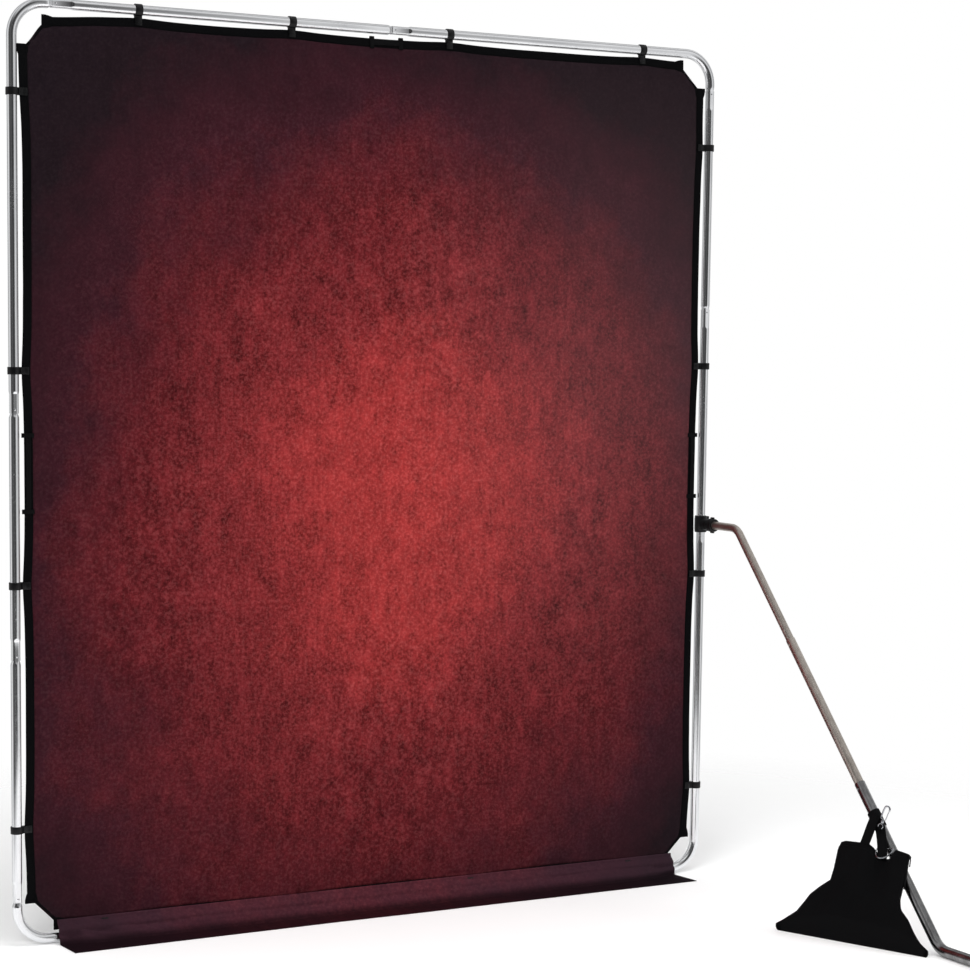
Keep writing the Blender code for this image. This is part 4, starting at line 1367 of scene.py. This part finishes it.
def build_ring_and_hook():
    side = Vector((1, 0, 0))
    back = Vector((RING_X, 0.0880, 0.2360))
    reach = Vector((RING_X, 0.0560, 0.2165)) - back
    ring = []
    for k in range(29):
        turn = math.pi * k / 28
        out = side * RING_HALF * math.cos(turn)
        ring.append(back + out + reach * (0.25 + 0.75 * math.sin(turn)))
    straight = [back - side * RING_HALF, back - side * 0.019 - reach * 0.06,
                back + side * 0.019 - reach * 0.06, back + side * RING_HALF]
    chrome_part("d_ring", lambda bm: wire(bm, ring + straight, 0.0018, True, 14))

    up = (HOOK_TOP - HOOK_FOOT).normalized()
    out = (side - up * up.x).normalized()
    barrel_low = HOOK_FOOT + up * (2 * EYE_R + HOOK_WIRE)
    eye = []
    for k in range(32):
        turn = 2 * math.pi * k / 32
        eye.append(HOOK_FOOT + up * EYE_R + (out * math.cos(turn) + up * math.sin(turn)) * EYE_R)
    chrome_part("snap_hook_eye", lambda bm: wire(bm, eye, EYE_WIRE, True, 12))
    barrel = [(0.0022, -0.0006), (0.0034, 0.0), (0.0042, 0.0014), (0.0036, 0.0028),
              (0.0042, 0.0042), (0.0042, 0.0066), (0.0034, 0.0082), (0.0022, BARREL_LENGTH)]
    chrome_part("snap_hook_barrel", lambda bm: lathe(bm, barrel, barrel_low, up, 28))

    shank = barrel_low + up * (BARREL_LENGTH + HOOK_WIRE + GAP)
    bow = HOOK_FOOT + up * ((HOOK_TOP - HOOK_FOOT).length - HOOK_R)
    hook = [shank - up * 0.002, shank - out * 0.001, shank - out * HOOK_R + up * 0.004]
    for k in range(17):
        turn = math.pi - math.pi * 1.12 * k / 16
        hook.append(bow + (out * math.cos(turn) + up * math.sin(turn)) * HOOK_R)
    tip = hook[-1]
    curve = smooth_curve(hook, 4)
    chrome_part("snap_hook_body", lambda bm: wire(bm, curve, HOOK_WIRE, False, 14))
    gate_foot = shank + out * (HOOK_R - 0.001)
    along = tip + (gate_foot - tip).normalized() * (HOOK_WIRE + GAP) - gate_foot
    gate = [(0.0008, 0.0), (0.0013, 0.0005), (0.0011, along.length * 0.5),
            (0.0014, along.length - 0.003), (0.0009, along.length)]
    chrome_part("snap_hook_gate", lambda bm: lathe(bm, gate, gate_foot, along, 16), "hook_gate")


def build_zip():
    place = BAG @ Matrix.Translation(ZIP_TOP) @ Matrix.Rotation(-ZIP_LEAN, 4, "X")
    bm = bmesh.new()
    block(bm, (0.0, -0.005, -ZIP_LENGTH), (0.0007, 0.005, 0.0), rounding=0.0002, steps=1)
    for k in range(42):
        z = -0.0015 - k * 0.002
        shift = 0.0006 if k % 2 else -0.0006
        block(bm, (0.0007, shift - 0.0012, z - 0.0007), (0.0014, shift + 0.0012, z + 0.0005))
    placed_piece(place, "shown_zip_tape", bm, WEBBING, "weight_bag", ("zip_tape",), 40)
    bm = bmesh.new()
    block(bm, (0.0016, -0.0034, -0.0120), (0.0046, 0.0034, -0.0021), rounding=0.001, steps=3)
    block(bm, (0.0040, -0.0010, -0.0095), (0.0058, 0.0010, -0.0040), rounding=0.0006, steps=2)
    placed_piece(place, "shown_zip_slider", bm, BLACK, "zip_slider", ("zip_slider",), 40)
    bm = bmesh.new()
    block(bm, (0.0054, -0.0027, -0.0300), (0.0068, 0.0027, -0.0120), rounding=0.0006, steps=2)
    block(bm, (0.0054, -0.0016, -0.0135), (0.0066, 0.0016, -0.0042), rounding=0.0005, steps=2)
    placed_piece(place, "shown_zip_pull", bm, BLACK, "zip_slider", ("zip_pull",), 40)


# ------------------------------------------------------------------ studio
def build_camera():
    yaw, pitch, roll = (math.radians(a) for a in (27.974, 5.491, 0.711))
    right = Vector((math.cos(yaw), -math.sin(yaw), 0))
    ahead = Vector((math.sin(yaw) * math.cos(pitch), math.cos(yaw) * math.cos(pitch),
                    -math.sin(pitch)))
    up = right.cross(ahead)
    x = right * math.cos(roll) + up * math.sin(roll)
    y = up * math.cos(roll) - right * math.sin(roll)
    data = bpy.data.cameras.new("camera")
    data.lens = 86.786
    data.sensor_width = 36
    data.shift_y = 0.0767
    made = bpy.data.objects.new("camera", data)
    turn = Matrix((x, y, -ahead)).transposed().to_4x4()
    made.matrix_world = Matrix.Translation(PANEL + Vector((-2.629, -5.518, 1.5145))) @ turn
    bpy.context.scene.collection.objects.link(made)
    bpy.context.scene.camera = made


def build_floor():
    made, tree, shader = start_material("floor", Roughness=0.6)
    shader.inputs["Specular IOR Level"].default_value = 0.2
    coords = object_coords(tree)
    tone = grain(tree, coords, 1.5, 3.0, 0.5)
    connect(tree, shader, Base_Color=mix(tree, tone, srgb(250, 250, 250), srgb(254, 254, 254)))
    reach = add(tree, "VectorMath", {0: coords}, operation="LENGTH").outputs["Value"]
    fade = spread(tree, reach, 1.5, 3.0)
    clear = add(tree, "BsdfTransparent").outputs[0]
    both = add(tree, "MixShader", {0: fade, 1: shader.outputs[0], 2: clear})
    tree.links.new(both.outputs[0], tree.nodes["Material Output"].inputs["Surface"])
    bm = bmesh.new()
    bmesh.ops.create_circle(bm, cap_ends=True, segments=96, radius=8.0)
    data = bpy.data.meshes.new("floor")
    bm.to_mesh(data)
    bm.free()
    data.materials.append(made)
    floor = bpy.data.objects.new("floor", data)
    bpy.context.scene.collection.objects.link(floor)


def area_light(name, place, target, width, height, power):
    data = bpy.data.lights.new(name, "AREA")
    data.shape = "RECTANGLE"
    data.size = width
    data.size_y = height
    data.energy = power
    made = bpy.data.objects.new(name, data)
    made.location = place
    made.rotation_euler = (Vector(target) - Vector(place)).to_track_quat("-Z", "Y").to_euler()
    bpy.context.scene.collection.objects.link(made)
    made.visible_camera = False
    made.visible_glossy = False


def build_studio():
    world = bpy.data.worlds.new("studio")
    bpy.context.scene.world = world
    world.use_nodes = True
    tree = world.node_tree
    tree.nodes.clear()
    where = add(tree, "TexCoord").outputs["Generated"]
    parts = add(tree, "SeparateXYZ", {"Vector": where})
    # a pale room with a dark side, which bright metal mirrors; cloth is lit evenly
    turn = calc(tree, "ARCTAN2", parts.outputs["X"], parts.outputs["Y"])
    behind = calc(tree, "COSINE", calc(tree, "SUBTRACT", turn, math.radians(28 + 180)))
    dark = spread(tree, behind, 0.45, 0.80)
    lower = spread(tree, parts.outputs["Z"], 0.80, 0.50)
    waves = calc(tree, "COSINE", times(tree, turn, 5.0))
    lit = spread(tree, waves, -1.0, 1.0, 0.38, 0.90)
    deep = times(tree, dark, lower)
    mirrored = times(tree, lit, spread(tree, deep, 0.0, 1.0, 1.0, 0.10))
    glossy = add(tree, "LightPath").outputs["Is Glossy Ray"]
    level = mix(tree, glossy, (0.66, 0.66, 0.66, 1.0), mirrored)
    room = add(tree, "Background", {"Color": level})
    white = add(tree, "Background", {"Color": (1, 1, 1, 1), "Strength": 1.0})
    seen = add(tree, "LightPath").outputs["Is Camera Ray"]
    both = add(tree, "MixShader", {0: seen, 1: room.outputs[0], 2: white.outputs[0]})
    out = tree.nodes.new("ShaderNodeOutputWorld")
    tree.links.new(both.outputs[0], out.inputs["Surface"])
    area_light("key", (-3.6, -3.4, 3.2), (0, 0.4, 1.0), 2.2, 2.6, 150)
    area_light("fill", (3.8, -3.2, 2.4), (0.3, 0.4, 0.9), 1.4, 2.6, 70)
    area_light("top", (0.0, -0.6, 4.6), (0, 0.0, 0.0), 3.4, 2.4, 90)


bpy.context.scene.view_settings.view_transform = "Standard"
build_camera()
build_floor()
build_studio()
build_frame()
build_clips()
build_cloth()
build_leg()
build_clamp()
build_bag_body()
build_bag_seams()
build_straps()
build_ring_and_hook()
build_zip()
